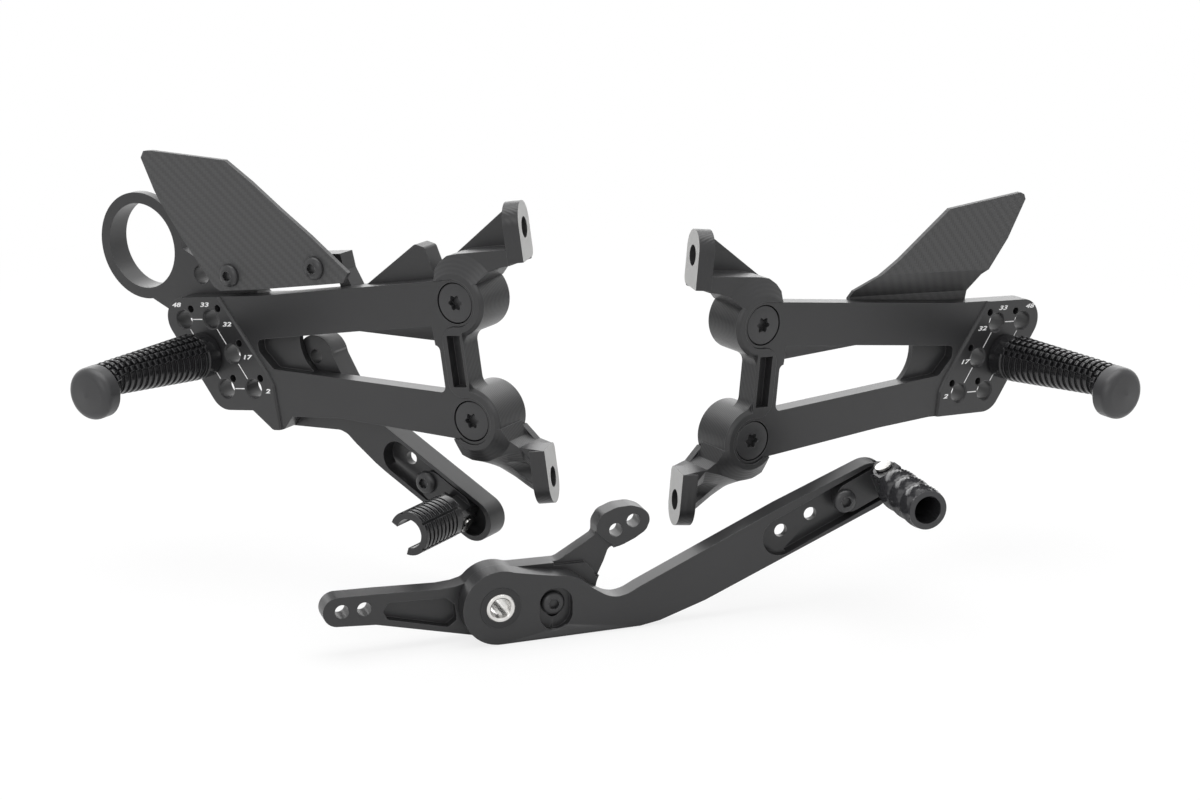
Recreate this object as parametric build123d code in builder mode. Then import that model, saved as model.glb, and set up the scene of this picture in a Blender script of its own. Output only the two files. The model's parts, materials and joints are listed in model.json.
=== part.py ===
from build123d import *
import math
import os

os.makedirs("parts", exist_ok=True)

# Every size is in millimetres.
# Each group is drawn flat in its own plane: X runs from the footpeg towards the frame
# bracket (or along the shift lever), Y runs up and Z runs outboard, towards the rider.
# The left group is drawn as the right one and mirrored.

# Rows of adjustment holes in the arm plates
hole_pitch = 15.0
row_shift = 8.7
adjust_bore_r = 4.1
pin_bore_r = 1.6
pin_offset = 4.5
array_margin = 9.4

# Arm plates
plate_t = 8.0
land_h = 1.2
land_chamfer = 0.8
arm_face = -land_h
plate_back = -plate_t
screw_u = 133.8
screw_top_v = 20.2
screw_low_v = -27.7
end_r = 9.5
neck_u = 125.5
neck_web = 2.2
neck_fillet = 6.5
web_t = 2.4
slot_corner = 3.0
lobe_r = 4.5

# Frame brackets
bracket_depth = 20.0
boss_r = 13.4
rim_r = 11.9
rim_face = -0.6
rim_taper = 1.2
seat_gap = 0.15
end_overhang = 1.2
bar_w = 10.0
bar_depth = 10.5
bar_fillet = 4.5
bar_pocket = 4.2
web_back_t = 3.2
flange_front = -4.7
hood_top_r = 19.5
hood_low_r = 17.7
pad_t = 6.4
pad_w = 16.6
pad_h = 21.0
pad_square = 12.6
pad_corner = 3.0
pad_turn = 20.3
bolt_head_r = 7.0
frame_bore_r = 4.2
pad_top = (164.0, 47.7, -12.5)
pad_low = (161.7, -52.8, -12.5)

# Bracket screws, M8 low head
head_r = 8.0
head_t = 4.8
head_gap = 0.4
m8_r = 4.0
m8_bore_r = 4.1
screw_key_r = 3.0

# Footpegs
peg_len = 72.0
adapter_len = 8.0
adapter_r = 9.5
sleeve_base_r = 8.6
sleeve_tip_r = 6.2
sleeve_rise = 3.4
stud_top = 10.2
flare_len = 8.0
cap_r = 10.8
cap_len = 8.6
cap_round = 3.6
cap_crown = 0.7
rib_pitch = 3.3
rib_t = 1.7
rib_h = 0.9
studs_per_rib = 7
stud_step = 19.0
stud_w = 2.1
peg_bore_r = 4.1
peg_thread_len = 24.0
peg_bolt_r = 6.5
peg_bolt_head = 7.0

# Cylinder carrier behind the right arm plate
carrier_t = 8.0
ring_u = -33.8
ring_v = 45.9
ring_r = 23.2
ring_bore_r = 18.5
ring_t = 4.0
collar_r = 20.4
collar_t = 10.5
carrier_gap = 4.7

carrier_screws = ((45.0, 16.6), (104.0, 17.6))
rear_thread = 4.8
m5_r = 2.5

# Heel guards
guard_t = 2.0
guard_rear_screws = ((30.0, 17.0), (76.0, 18.6))
guard_bend_v = 38.5
guard_foot_v = 28.0
guard_head_r = 4.8
guard_head_t = 2.4
guard_holes = ((20.7, 33.6), (66.6, 35.9))

# Brake lever
lever_t = 10.0
lever_face = -8.5
pivot_u = 36.5
pivot_v = -22.5
pivot_hub_r = 10.4
pivot_bush_r = 6.6
pivot_pin_r = 5.0
pivot_thread_r = 3.0
run_gap = 0.05
brake_pin_at = (116.0, -66.8)
brake_bar_turn = -36.5
brake_end_x = 7.6
brake_end_r = 8.7
brake_pocket = 6.4
bell_at = (53.0, -3.0)
bell_r = 9.0
pocket_half = 7.0

# Toe pegs and their holders, measured along the lever from the toe pin
toe_screw_x = -18.5
toe_hole_step = 13.8
toe_hole_r = 2.7
tongue_r = 6.2
lug_r = 4.4
lug_w = 8.0
toe_pin_r = 2.0
ear_in = 4.3
ear_out = 7.4
toe_peg_r = 8.2
toe_bore_r = 5.5
toe_root = 4.9
shell_r = 9.0
shell_wall = 3.0
shell_ribs = 8
shell_rib_pitch = 2.6
shell_rib_h = 0.7
toe_head_r = 4.8

# Shift lever group
shift_t = 8.0
shift_pocket = 5.0
hub_r = 15.0
rocker_back = -16.0
rocker_step = -10.0
bush_r = 5.7
bush_bore_r = 4.05
bearing_r = 8.2
shift_pin_at = (160.2, 35.2)
shift_bar_turn = 24.0
shift_end_x = -6.5
shift_end_r = 9.8
rod_hole_r = 2.8
link_left = ((-60.5, 3.2), (-51.8, 3.2))
link_right = ((49.6, 23.5), (56.8, 26.6))

# Where the groups stand: turn about the vertical, tilt in the plate's own plane, place
right_turn = 32.3
right_tilt = 8.6
left_turn = 34.6
left_tilt = 5.7
shift_turn = -18.8
left_place = (203.3, 91.7, -77.9)
shift_place = (-8.8, -49.6, -138.8)


def turned_plane(turn, tilt, hand):
    """Plane whose normal faces outboard, turned about Z and tilted in itself."""
    a, b = math.radians(turn), math.radians(tilt)
    normal = Vector(-hand * math.sin(a), -math.cos(a), 0)
    level = Vector(hand * math.cos(a), -math.sin(a), 0)
    along = level * math.cos(b) + Vector(0, 0, math.sin(b))
    return Plane(origin=(0, 0, 0), x_dir=along * hand, z_dir=normal)


right_turned = turned_plane(right_turn, right_tilt, 1)
right_origin = right_turned.from_local_coords(Vector(*pad_top)) * -1
RIGHT = Plane(origin=right_origin, x_dir=right_turned.x_dir, z_dir=right_turned.z_dir)
left_turned = turned_plane(left_turn, left_tilt, -1)
LEFT = Plane(origin=left_place, x_dir=left_turned.x_dir, z_dir=left_turned.z_dir)
shift_turned = turned_plane(shift_turn, 0, 1)
SHIFT = Plane(origin=shift_place, x_dir=shift_turned.x_dir, z_dir=shift_turned.z_dir)


def save(shape, plane, name, flip=False):
    """Put a finished piece in its group's place and write it under its name."""
    if flip:
        shape = shape.mirror(Plane.YZ)
    placed = shape.moved(plane.location)
    placed.label = name
    export_step(placed, f"parts/{name}.step")
    return placed


# The adjustment holes, lettered by row: top, middle and bottom
top_row = [(-row_shift, hole_pitch), (hole_pitch - row_shift, hole_pitch)]
middle_row = [(0, 0), (hole_pitch, 0)]
bottom_row = [(row_shift, -hole_pitch), (hole_pitch + row_shift, -hole_pitch)]
adjust_holes = top_row + middle_row + bottom_row

# The two slanted corners of the hole field, tangent to circles about the end holes
row_run = math.hypot(2 * row_shift, 2 * hole_pitch)
slant_x = -2 * hole_pitch / row_run
slant_y = -2 * row_shift / row_run
field_top = hole_pitch + array_margin
corner_top_u = -row_shift + array_margin * (1 - slant_y) / slant_x
corner_low_u = row_shift + array_margin * (1 + slant_y) / slant_x


def plate_outline(with_lobe):
    """Outline of an arm plate: hole field, two arms and the round screw ends."""
    lobe = [(41.5, -27.2), (36.0, -32.8), (31.0, -32.8), (21.5, -field_top)]
    plain = [(38.7, -field_top - 0.4)]
    with BuildSketch() as outline:
        with BuildLine():
            Polyline(
                (corner_top_u, field_top),
                (33.0, field_top),
                (screw_u, screw_top_v + end_r),
                (screw_u, screw_top_v),
                (neck_u, screw_top_v),
                (neck_u, screw_low_v),
                (screw_u, screw_low_v),
                (screw_u - 7.0, screw_low_v - 7.4),
                (66.5, -27.4),
                *(lobe if with_lobe else plain),
                (corner_low_u, -field_top),
                close=True,
            )
        make_face()
        field_corners = outline.vertices().filter_by(
            lambda v: v.X < corner_low_u + 0.1
        )
        fillet(field_corners, array_margin)
        if with_lobe:
            tips = outline.vertices().filter_by(lambda v: v.Y < -32 and v.X < 40)
            fillet(tips, lobe_r * 0.5)
        with Locations((screw_u, screw_top_v), (screw_u, screw_low_v)):
            Circle(end_r)
        inner = outline.vertices().filter_by(
            lambda v: abs(v.X - neck_u) < 0.01 and abs(v.Y + 3.5) < 22
        )
        fillet(inner, neck_fillet)
    return outline.sketch


def slot_outline():
    """The long opening between the arms, with its blind end by the hole field."""
    with BuildSketch() as slot:
        with BuildLine():
            Polyline(
                (28.6, 5.8),
                (84.0, 9.2),
                (neck_u - neck_web, 3.0),
                (neck_u - neck_web, -16.2),
                (35.4, -6.9),
                (29.0, 0.5),
                close=True,
            )
        make_face()
        fillet(slot.vertices(), slot_corner * 0.8)
    return slot.sketch


def arm_plate(with_lobe, rear_screws):
    """Machined arm plate with its raised hole field."""
    outline = plate_outline(with_lobe)
    with BuildPart() as plate:
        with BuildSketch(Plane.XY.offset(plate_back)):
            add(outline)
        extrude(amount=plate_t - land_h)
        # raised land that carries the holes
        with BuildSketch(Plane.XY.offset(arm_face)):
            add(outline)
            with BuildLine():
                Polyline(
                    (corner_top_u - 5, field_top + 5),
                    (9.0, field_top + 5),
                    (12.2, field_top),
                    (32.5, -8.5),
                    (34.8, -14.0),
                    (35.2, -40.0),
                    (corner_top_u - 5, -40.0),
                    close=True,
                )
            make_face(mode=Mode.INTERSECT)
        extrude(amount=land_h)
        land_edges = plate.faces().sort_by(Axis.Z)[-1].edges().filter_by(
            lambda e: e.center().X > 12.5 and e.center().Y > -24 and abs((e % 0.5).Y) > 0.3
        )
        chamfer(land_edges, land_chamfer)
        # long slot, then the web left at its blind end
        with BuildSketch(Plane.XY):
            add(slot_outline())
        extrude(amount=-plate_t, mode=Mode.SUBTRACT)
        with BuildSketch(Plane.XY.offset(plate_back)):
            add(slot_outline())
            with BuildLine():
                ThreePointArc((49.5, 10.0), (48.6, -1.0), (55.5, -10.5))
                Polyline((55.5, -10.5), (20.0, -10.5), (20.0, 10.0), (49.5, 10.0))
            make_face(mode=Mode.INTERSECT)
        extrude(amount=web_t)
        # sloping underside of the upper arm
        facet_dir = Vector(38.0, 1.9, 0)
        facet_down = Vector(38.0, -6.4, -plate_t + land_h)
        facet_normal = facet_down.cross(facet_dir).normalized()
        facet = Plane(origin=(84.0, 9.2, arm_face), x_dir=facet_dir, z_dir=facet_normal)
        with BuildSketch(facet):
            with Locations((18.5, 0)):
                Rectangle(37.0, 26.0)
        extrude(amount=12.0, mode=Mode.SUBTRACT)
        # adjustment holes, locating-pin holes and the seats of the bracket screws
        with Locations(*[(u, v, 0) for u, v in adjust_holes]):
            CounterBoreHole(adjust_bore_r, adjust_bore_r + 0.35, 0.4, plate_t)
        with Locations(*[(u + pin_offset, v + pin_offset, 0) for u, v in adjust_holes]):
            Hole(pin_bore_r, depth=5.0)
        with Locations((screw_u, screw_top_v, arm_face), (screw_u, screw_low_v, arm_face)):
            CounterBoreHole(m8_bore_r, head_r + head_gap, head_t, plate_t)
        # blind threads in the back
        with BuildSketch(Plane.XY.offset(plate_back)):
            with Locations(*rear_screws):
                Circle(m5_r)
            if with_lobe:
                with Locations((pivot_u, pivot_v)):
                    Circle(pivot_thread_r)
        extrude(amount=rear_thread, mode=Mode.SUBTRACT)
    return plate.part


plate_lobed = arm_plate(True, carrier_screws)
plate_plain = arm_plate(False, guard_rear_screws)
right_arm_plate = save(plate_lobed, RIGHT, "right_arm_plate")
left_arm_plate = save(plate_plain, LEFT, "left_arm_plate", flip=True)


def upper_flange():
    """Outline of the shelf that runs from the upper boss to the upper pad."""
    with BuildSketch(Plane.XY.offset(-bracket_depth)) as flange:
        with BuildLine():
            Polyline(
                (neck_u - 0.5, 24.0), (neck_u - 0.5, 33.5), (127.3, 36.4), (130.7, 38.6),
                (134.7, 39.2), (159.0, 40.3), (160.8, 36.0), (160.1, 33.9), (155.2, 33.2),
                (148.7, 31.3), (145.5, 28.0), (134.0, 24.0), close=True,
            )
        make_face()
    return flange.sketch


def lower_flange(n, bay, foot):
    """Outline of the lower arm of the bracket at one depth, from its boss to its pad."""
    with BuildSketch(Plane.XY.offset(n)) as flange:
        with BuildLine():
            Polyline(
                (neck_u - end_overhang, -32.0), *bay, *foot, (152.5, -39.1), (148.6, -36.6),
                (147.0, -31.0), (134.0, -28.0), close=True,
            )
        make_face()
    return flange.sketch


def cone_hood(v, base_r):
    """Ball-milled cone that leads from a boss's rim out to the front of its flange."""
    with BuildPart() as cone:
        with BuildSketch(Plane.XY.offset(flange_front)):
            with Locations((screw_u, v)):
                Circle(base_r)
        with BuildSketch(Plane.XY.offset(rim_face)):
            with Locations((screw_u, v)):
                Circle(rim_r)
        loft()
    return cone.part


lower_front = lower_flange(
    flange_front,
    ((124.3, -42.6), (129.0, -44.7), (136.2, -45.3), (146.0, -41.8), (153.4, -39.8)),
    ((161.1, -48.1), (163.5, -40.2)),
)
lower_back = lower_flange(
    -bracket_depth + web_back_t,
    ((124.3, -47.6), (127.4, -49.0), (133.0, -50.9), (139.8, -54.5), (146.4, -58.9)),
    ((150.0, -61.0), (158.0, -41.0)),
)
with BuildPart() as upper_body:
    add(upper_flange())
    extrude(amount=bracket_depth + flange_front)
    upper_column = extrude(upper_flange(), amount=bracket_depth, mode=Mode.PRIVATE)
with BuildPart() as lower_body:
    add(lower_front)
    add(lower_back)
    loft(ruled=True)
    lower_column = extrude(lower_front, amount=flange_front * -1, mode=Mode.PRIVATE)
upper_hood = cone_hood(screw_top_v, hood_top_r) & upper_column
lower_hood = cone_hood(screw_low_v, hood_low_r) & lower_column


def frame_bracket():
    """Billet bracket that takes the arm plate's end and carries the two frame pads."""
    pad_axis = Vector(math.cos(math.radians(pad_turn)), 0, -math.sin(math.radians(pad_turn)))
    bar_mid = (screw_top_v + screw_low_v) / 2
    with BuildPart() as bracket:
        # two deep bosses with a tapered rim
        with BuildSketch(Plane.XY.offset(-bracket_depth)):
            with Locations((screw_u, screw_top_v), (screw_u, screw_low_v)):
                Circle(boss_r)
        extrude(amount=bracket_depth + rim_face - rim_taper)
        for v in (screw_top_v, screw_low_v):
            with BuildSketch(Plane.XY.offset(rim_face - rim_taper)):
                with Locations((screw_u, v)):
                    Circle(boss_r)
            with BuildSketch(Plane.XY.offset(rim_face)):
                with Locations((screw_u, v)):
                    Circle(rim_r)
            loft()
        # bar between them, filleted into both
        with BuildSketch(Plane.XY.offset(-bar_depth)) as bar:
            with Locations((screw_u, screw_top_v), (screw_u, screw_low_v)):
                Circle(boss_r)
            with Locations((neck_u + bar_w / 2, bar_mid)):
                Rectangle(bar_w, screw_top_v - screw_low_v - boss_r)
            waist = bar.vertices().filter_by(
                lambda v: v.X > neck_u + bar_w - 0.01 and abs(v.Y - bar_mid) < 16
            )
            fillet(waist, bar_fillet)
        extrude(amount=bar_depth + rim_face - rim_taper)
        with BuildSketch(Plane.XY.offset(rim_face - rim_taper)):
            with Locations((neck_u + bar_w / 2, bar_mid)):
                Rectangle(bar_w, screw_top_v - screw_low_v - boss_r)
        extrude(amount=rim_taper)
        # arms out to the pads, with their hoods
        add(upper_body.part)
        add(lower_body.part)
        add(upper_hood)
        add(lower_hood)
        # thin webs behind the arms
        with BuildSketch(Plane.XY.offset(-bracket_depth)):
            with BuildLine():
                Polyline((126.0, 37.2), (151.8, 53.8), (158.0, 50.0), (156.0, 36.0), (134.0, 26.0),
                         close=True)
            make_face()
            with BuildLine():
                Polyline(
                    (124.3, -47.6), (127.4, -49.0), (133.0, -50.9), (139.8, -54.5),
                    (146.4, -58.9), (150.0, -61.0), (156.0, -50.0), (158.0, -41.0),
                    (152.5, -39.1), (147.0, -33.0), (124.3, -32.0), close=True,
                )
            make_face()
        extrude(amount=web_back_t)
        # machined pads against the frame, with room for the bolt heads behind them
        for centre, up in ((pad_top, 1), (pad_low, -1)):
            pad_plane = Plane(origin=centre, x_dir=(0, up, 0), z_dir=pad_axis)
            with BuildSketch(pad_plane) as pad:
                SlotOverall(pad_h, pad_w)
                with Locations((-pad_square / 2, 0)):
                    Rectangle(pad_square, pad_w)
                corners = pad.vertices().group_by(Axis.Y)[0 if up > 0 else -1]
                fillet(corners, pad_corner)
            extrude(amount=-pad_t)
            with BuildSketch(pad_plane.offset(-pad_t)):
                Circle(bolt_head_r)
            extrude(amount=-4 * bolt_head_r, mode=Mode.SUBTRACT)
            with Locations(pad_plane):
                Hole(frame_bore_r, depth=pad_t)
        # the arm plate seats in a pocket of its own outline
        with BuildSketch(Plane.XY.offset(plate_back)):
            add(plate_outline(False))
            offset(amount=seat_gap)
        extrude(amount=plate_t + 4, mode=Mode.SUBTRACT)
        with BuildSketch(Plane.XY.offset(-bracket_depth)):
            with Locations((neck_u - end_overhang - boss_r, bar_mid)):
                Rectangle(2 * boss_r, pad_top[1] - pad_low[1])
        extrude(amount=bracket_depth, mode=Mode.SUBTRACT)
        # pocket in the front of the bar
        with BuildSketch(Plane.XY):
            with Locations((neck_u + bar_w / 2 + 0.6, bar_mid + 0.5)):
                Rectangle(bar_w - 3.6, 21)
        extrude(amount=rim_face - bar_pocket, mode=Mode.SUBTRACT)
        with Locations((screw_u, screw_top_v, 0), (screw_u, screw_low_v, 0)):
            Hole(m8_bore_r, depth=bracket_depth)
    return bracket.part


bracket_part = frame_bracket()
right_frame_bracket = save(bracket_part, RIGHT, "right_frame_bracket")
left_frame_bracket = save(bracket_part, LEFT, "left_frame_bracket", flip=True)


def socket_screw(head_radius, head_height, shank_r, length, key_r):
    """Low-head screw with its top at Z = 0 and its shank down -Z."""
    with BuildPart() as screw:
        with BuildSketch(Plane.XZ):
            with BuildLine():
                Polyline(
                    (0, 0), (head_radius - 0.4, 0), (head_radius, -0.4),
                    (head_radius, -head_height), (shank_r, -head_height),
                    (shank_r, -length + 0.6), (shank_r - 0.6, -length), (0, -length),
                    close=True,
                )
            make_face()
        revolve(axis=Axis.Z)
        with BuildSketch(Plane.XY):
            RegularPolygon(key_r, 6)
        extrude(amount=-head_height * 0.6, mode=Mode.SUBTRACT)
    return screw.part


def button_screw(head_radius, head_height, shank_r, length, key_r):
    """Button-head screw: the seat of its head is at Z = 0, the dome stands above it."""
    with BuildPart() as screw:
        with BuildSketch(Plane.XZ):
            with BuildLine():
                Line((0, -length), (shank_r, -length))
                Line((shank_r, -length), (shank_r, 0))
                Line((shank_r, 0), (head_radius, 0))
                Line((head_radius, 0), (head_radius, head_height * 0.25))
                ThreePointArc(
                    (head_radius, head_height * 0.25),
                    (head_radius * 0.8, head_height * 0.74),
                    (head_radius * 0.42, head_height),
                )
                Line((head_radius * 0.42, head_height), (0, head_height))
                Line((0, head_height), (0, -length))
            make_face()
        revolve(axis=Axis.Z)
        with BuildSketch(Plane.XY.offset(head_height)):
            RegularPolygon(key_r, 6)
        extrude(amount=-head_height * 0.7, mode=Mode.SUBTRACT)
    return screw.part


bracket_screw = socket_screw(head_r, head_t - 0.2, m8_r, bracket_depth - land_h - 1, screw_key_r)
for side, plane, flip in (("right", RIGHT, False), ("left", LEFT, True)):
    for place, v in (("upper", screw_top_v), ("lower", screw_low_v)):
        seated = bracket_screw.moved(Location((screw_u, v, arm_face - 0.2)))
        save(seated, plane, f"{side}_{place}_bracket_screw", flip)


def peg_adapter():
    """Smooth foot of the footpeg, with the bolt bore and the locating-pin bore."""
    with BuildPart() as adapter:
        with BuildSketch(Plane.XY):
            Circle(adapter_r)
            Circle(peg_bore_r, mode=Mode.SUBTRACT)
            with Locations((pin_offset, pin_offset)):
                Circle(pin_bore_r, mode=Mode.SUBTRACT)
        extrude(amount=adapter_len)
        rims = adapter.edges().filter_by(GeomType.CIRCLE).filter_by(lambda e: e.radius > 9)
        chamfer(rims, 0.6)
    return adapter.part


def peg_sleeve():
    """Gripping sleeve: eccentric cone, cut away below, ringed and studded on top."""
    start, flare = adapter_len, peg_len - cap_len - flare_len
    stop = peg_len - cap_len
    with BuildPart() as sleeve:
        with BuildSketch(Plane.XY.offset(start)):
            Circle(sleeve_base_r)
        with BuildSketch(Plane.XY.offset(flare)):
            with Locations((0, sleeve_rise)):
                Circle(sleeve_tip_r)
        loft()
        with BuildSketch(Plane.XY.offset(flare)):
            with Locations((0, sleeve_rise)):
                Circle(sleeve_tip_r)
        with BuildSketch(Plane.XY.offset(stop)):
            Circle(cap_r - 0.4)
        loft()
        count = int((flare - start - rib_t) // rib_pitch) + 1
        for i in range(count):
            at = start + i * rib_pitch
            share = (at - start) / (flare - start)
            rise = sleeve_rise * share
            radius = sleeve_base_r + (sleeve_tip_r - sleeve_base_r) * share + rib_h
            stud_h = stud_top - rise - radius + 0.6
            with BuildSketch(Plane.XY.offset(at)):
                with Locations((0, rise)):
                    Circle(radius)
                    for k in range(studs_per_rib):
                        angle = 90 + stud_step * (k - (studs_per_rib - 1) / 2)
                        with PolarLocations(radius + stud_h / 2 - 0.5, 1, angle):
                            Rectangle(stud_h + 1.0, stud_w)
            extrude(amount=rib_t)
        with BuildSketch(Plane.XY.offset(start)):
            Circle(peg_bore_r)
        extrude(amount=peg_thread_len, mode=Mode.SUBTRACT)
    return sleeve.part


def peg_cap():
    """Domed end cap that closes the flared end of the sleeve."""
    with BuildPart() as cap:
        with BuildSketch(Plane.XZ):
            with BuildLine():
                Polyline((0, peg_len + cap_crown), (0, peg_len - cap_len),
                         (cap_r - 0.6, peg_len - cap_len), (cap_r, peg_len - cap_len + 0.6),
                         (cap_r, peg_len - cap_round))
                ThreePointArc((cap_r, peg_len - cap_round),
                              (cap_r - cap_round * 0.29, peg_len - cap_round * 0.29),
                              (cap_r - cap_round, peg_len))
                Line((cap_r - cap_round, peg_len), (0, peg_len + cap_crown))
            make_face()
        revolve(axis=Axis.Z)
    return cap.part


peg_bolt_len = peg_bolt_head + plate_t + adapter_len + peg_thread_len - 6.0
peg_bolt = socket_screw(peg_bolt_r, peg_bolt_head, m8_r, peg_bolt_len, 3.2)
peg_bolt = peg_bolt.rotate(Axis.X, 180).moved(Location((0, 0, plate_back - peg_bolt_head)))
with BuildPart() as pin_build:
    with Locations((pin_offset, pin_offset, -4.5)):
        Cylinder(pin_bore_r - 0.05, 8.5, align=(Align.CENTER, Align.CENTER, Align.MIN))
peg_pieces = {
    "peg_adapter": peg_adapter(),
    "peg_sleeve": peg_sleeve(),
    "peg_cap": peg_cap(),
    "peg_bolt": peg_bolt,
    "peg_pin": pin_build.part,
}
for side, plane, flip in (("right", RIGHT, False), ("left", LEFT, True)):
    for name, piece in peg_pieces.items():
        save(piece, plane, f"{side}_{name}", flip)


def carrier():
    """Plate behind the right arm: cylinder ring, rail for the guard and end peak."""
    end_u = neck_u - carrier_gap
    with BuildPart() as plate:
        with BuildSketch(Plane.XY.offset(plate_back - carrier_t)) as outline:
            with BuildLine():
                Polyline(
                    (-38.0, 26.0), (-25.0, 18.5), (-10.0, 9.8), (end_u - 0.3, 9.8),
                    (end_u, 30.0), (end_u - 3.2, 41.5), (end_u - 7.8, 43.0), (84.5, 26.3),
                    (78.2, 25.8), (75.1, 33.0), (74.4, 40.0), (-4.0, 40.0), (-14.0, 46.0),
                    (-33.0, 48.0), close=True,
                )
            make_face()
            rounded = outline.vertices().filter_by(lambda v: v.X > end_u - 10 and v.Y > 40)
            fillet(rounded, 1.6)
        extrude(amount=carrier_t)
        # ring with a narrower collar behind it
        with BuildSketch(Plane.XY.offset(plate_back - ring_t)):
            with Locations((ring_u, ring_v)):
                Circle(ring_r)
        extrude(amount=ring_t)
        with BuildSketch(Plane.XY.offset(plate_back - collar_t)):
            with Locations((ring_u, ring_v)):
                Circle(collar_r)
        extrude(amount=collar_t)
        with BuildSketch(Plane.XY.offset(plate_back)):
            with Locations((ring_u, ring_v)):
                Circle(ring_bore_r)
            with Locations((49.5, 26.0)):
                RectangleRounded(45.0, 5.0, 1.5)
            with Locations((-2.5, 32.6)):
                Circle(peg_bore_r)
            with Locations(*top_row):
                Circle(peg_bolt_r + 0.7)
            with Locations(*carrier_screws, *guard_holes):
                Circle(m5_r)
        extrude(amount=-collar_t, mode=Mode.SUBTRACT)
    return plate.part


save(carrier(), RIGHT, "cylinder_carrier")
rear_screw = button_screw(4.6, guard_head_t, m5_r, carrier_t + rear_thread - 0.4, 2.3)
rear_screw = rear_screw.rotate(Axis.X, 180)
for name, (u, v) in zip(("inner", "outer"), carrier_screws):
    seated = rear_screw.moved(Location((u, v, plate_back - carrier_t)))
    save(seated, RIGHT, f"carrier_{name}_screw")


def right_guard():
    """Flat heel guard."""
    with BuildPart() as guard:
        with BuildSketch(Plane.XY.offset(-guard_t)) as outline:
            with BuildLine():
                Polyline(
                    (-18.4, 84.8), (-16.4, 87.5), (-12.4, 87.5), (27.5, 81.7), (39.6, 72.2),
                    (53.2, 60.2), (66.8, 48.8), (83.4, 33.4), (80.2, 29.4), (68.1, 28.8),
                    (35.8, 27.4), (13.8, 27.1), (10.9, 28.9), (5.7, 37.0), (-2.2, 49.2),
                    (-11.6, 65.6), (-13.9, 70.8), close=True,
                )
            make_face()
            with Locations(*guard_holes):
                Circle(m5_r + 0.2, mode=Mode.SUBTRACT)
        extrude(amount=guard_t)
    return guard.part


def left_guard():
    """Heel guard bent back so that its foot lies behind the arm plate."""
    foot = plate_back - guard_t
    with BuildPart() as guard:
        with BuildSketch(Plane.YZ.offset(-20)):
            with BuildLine():
                Polyline(
                    (90, 0), (guard_bend_v, 0), (guard_foot_v, plate_back), (11, plate_back),
                    (11, foot), (guard_foot_v - 0.6, foot), (guard_bend_v - 0.6, -guard_t),
                    (90, -guard_t), close=True,
                )
            make_face()
        extrude(amount=120)
        with BuildSketch(Plane.XY.offset(foot)):
            with BuildLine():
                Polyline(
                    (-1.9, 68.4), (-0.8, 70.5), (1.3, 71.3), (40.8, 65.2), (65.8, 44.5),
                    (72.3, 40.1), (76.0, 37.6), (84.0, 31.0), (84.0, 14.5), (81.0, 11.8),
                    (24.0, 11.8), (20.0, 14.5), (18.6, 27.0), (17.0, 36.2), (14.6, 38.6),
                    (5.7, 51.7), close=True,
                )
            make_face()
            with Locations(*guard_rear_screws):
                Circle(m5_r + 0.2, mode=Mode.SUBTRACT)
        extrude(amount=guard_t - plate_back, mode=Mode.INTERSECT)
    return guard.part


save(right_guard(), RIGHT, "right_heel_guard")
save(left_guard(), LEFT, "left_heel_guard", flip=True)

spacer_len = -plate_back - guard_t
guard_screw = button_screw(guard_head_r, guard_head_t, m5_r, carrier_t - plate_back - 1, 2.4)
with BuildPart() as spacer_build:
    with BuildSketch(Plane.XY.offset(plate_back)):
        Circle(m5_r + 2.2)
        Circle(m5_r + 0.1, mode=Mode.SUBTRACT)
    extrude(amount=spacer_len)
for name, (u, v) in zip(("inner", "outer"), guard_holes):
    save(guard_screw.moved(Location((u, v, 0))), RIGHT, f"right_guard_{name}_screw")
    save(spacer_build.part.moved(Location((u, v, 0))), RIGHT, f"right_guard_{name}_spacer")
foot_screw = button_screw(4.6, guard_head_t, m5_r, guard_t + rear_thread - 0.4, 2.3)
foot_screw = foot_screw.rotate(Axis.X, 180)
for name, (u, v) in zip(("inner", "outer"), guard_rear_screws):
    seated = foot_screw.moved(Location((u, v, plate_back - guard_t)))
    save(seated, LEFT, f"left_guard_{name}_screw", flip=True)


def bar_plane(pin_at, turn, face):
    """Plane on a lever's front face: X along its bar to the toe, origin at the toe pin."""
    a = math.radians(turn)
    return Plane(origin=(*pin_at, face), x_dir=(math.cos(a), math.sin(a), 0), z_dir=(0, 0, 1))


BRAKE_BAR = bar_plane(brake_pin_at, brake_bar_turn, lever_face)
SHIFT_BAR = bar_plane(shift_pin_at, shift_bar_turn, 0)


def bar_points(bar, *points):
    """Points given along a bar, in the flat coordinates of its group."""
    found = [bar.from_local_coords(Vector(x, y, 0)) for x, y in points]
    return [(p.X, p.Y) for p in found]


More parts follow.
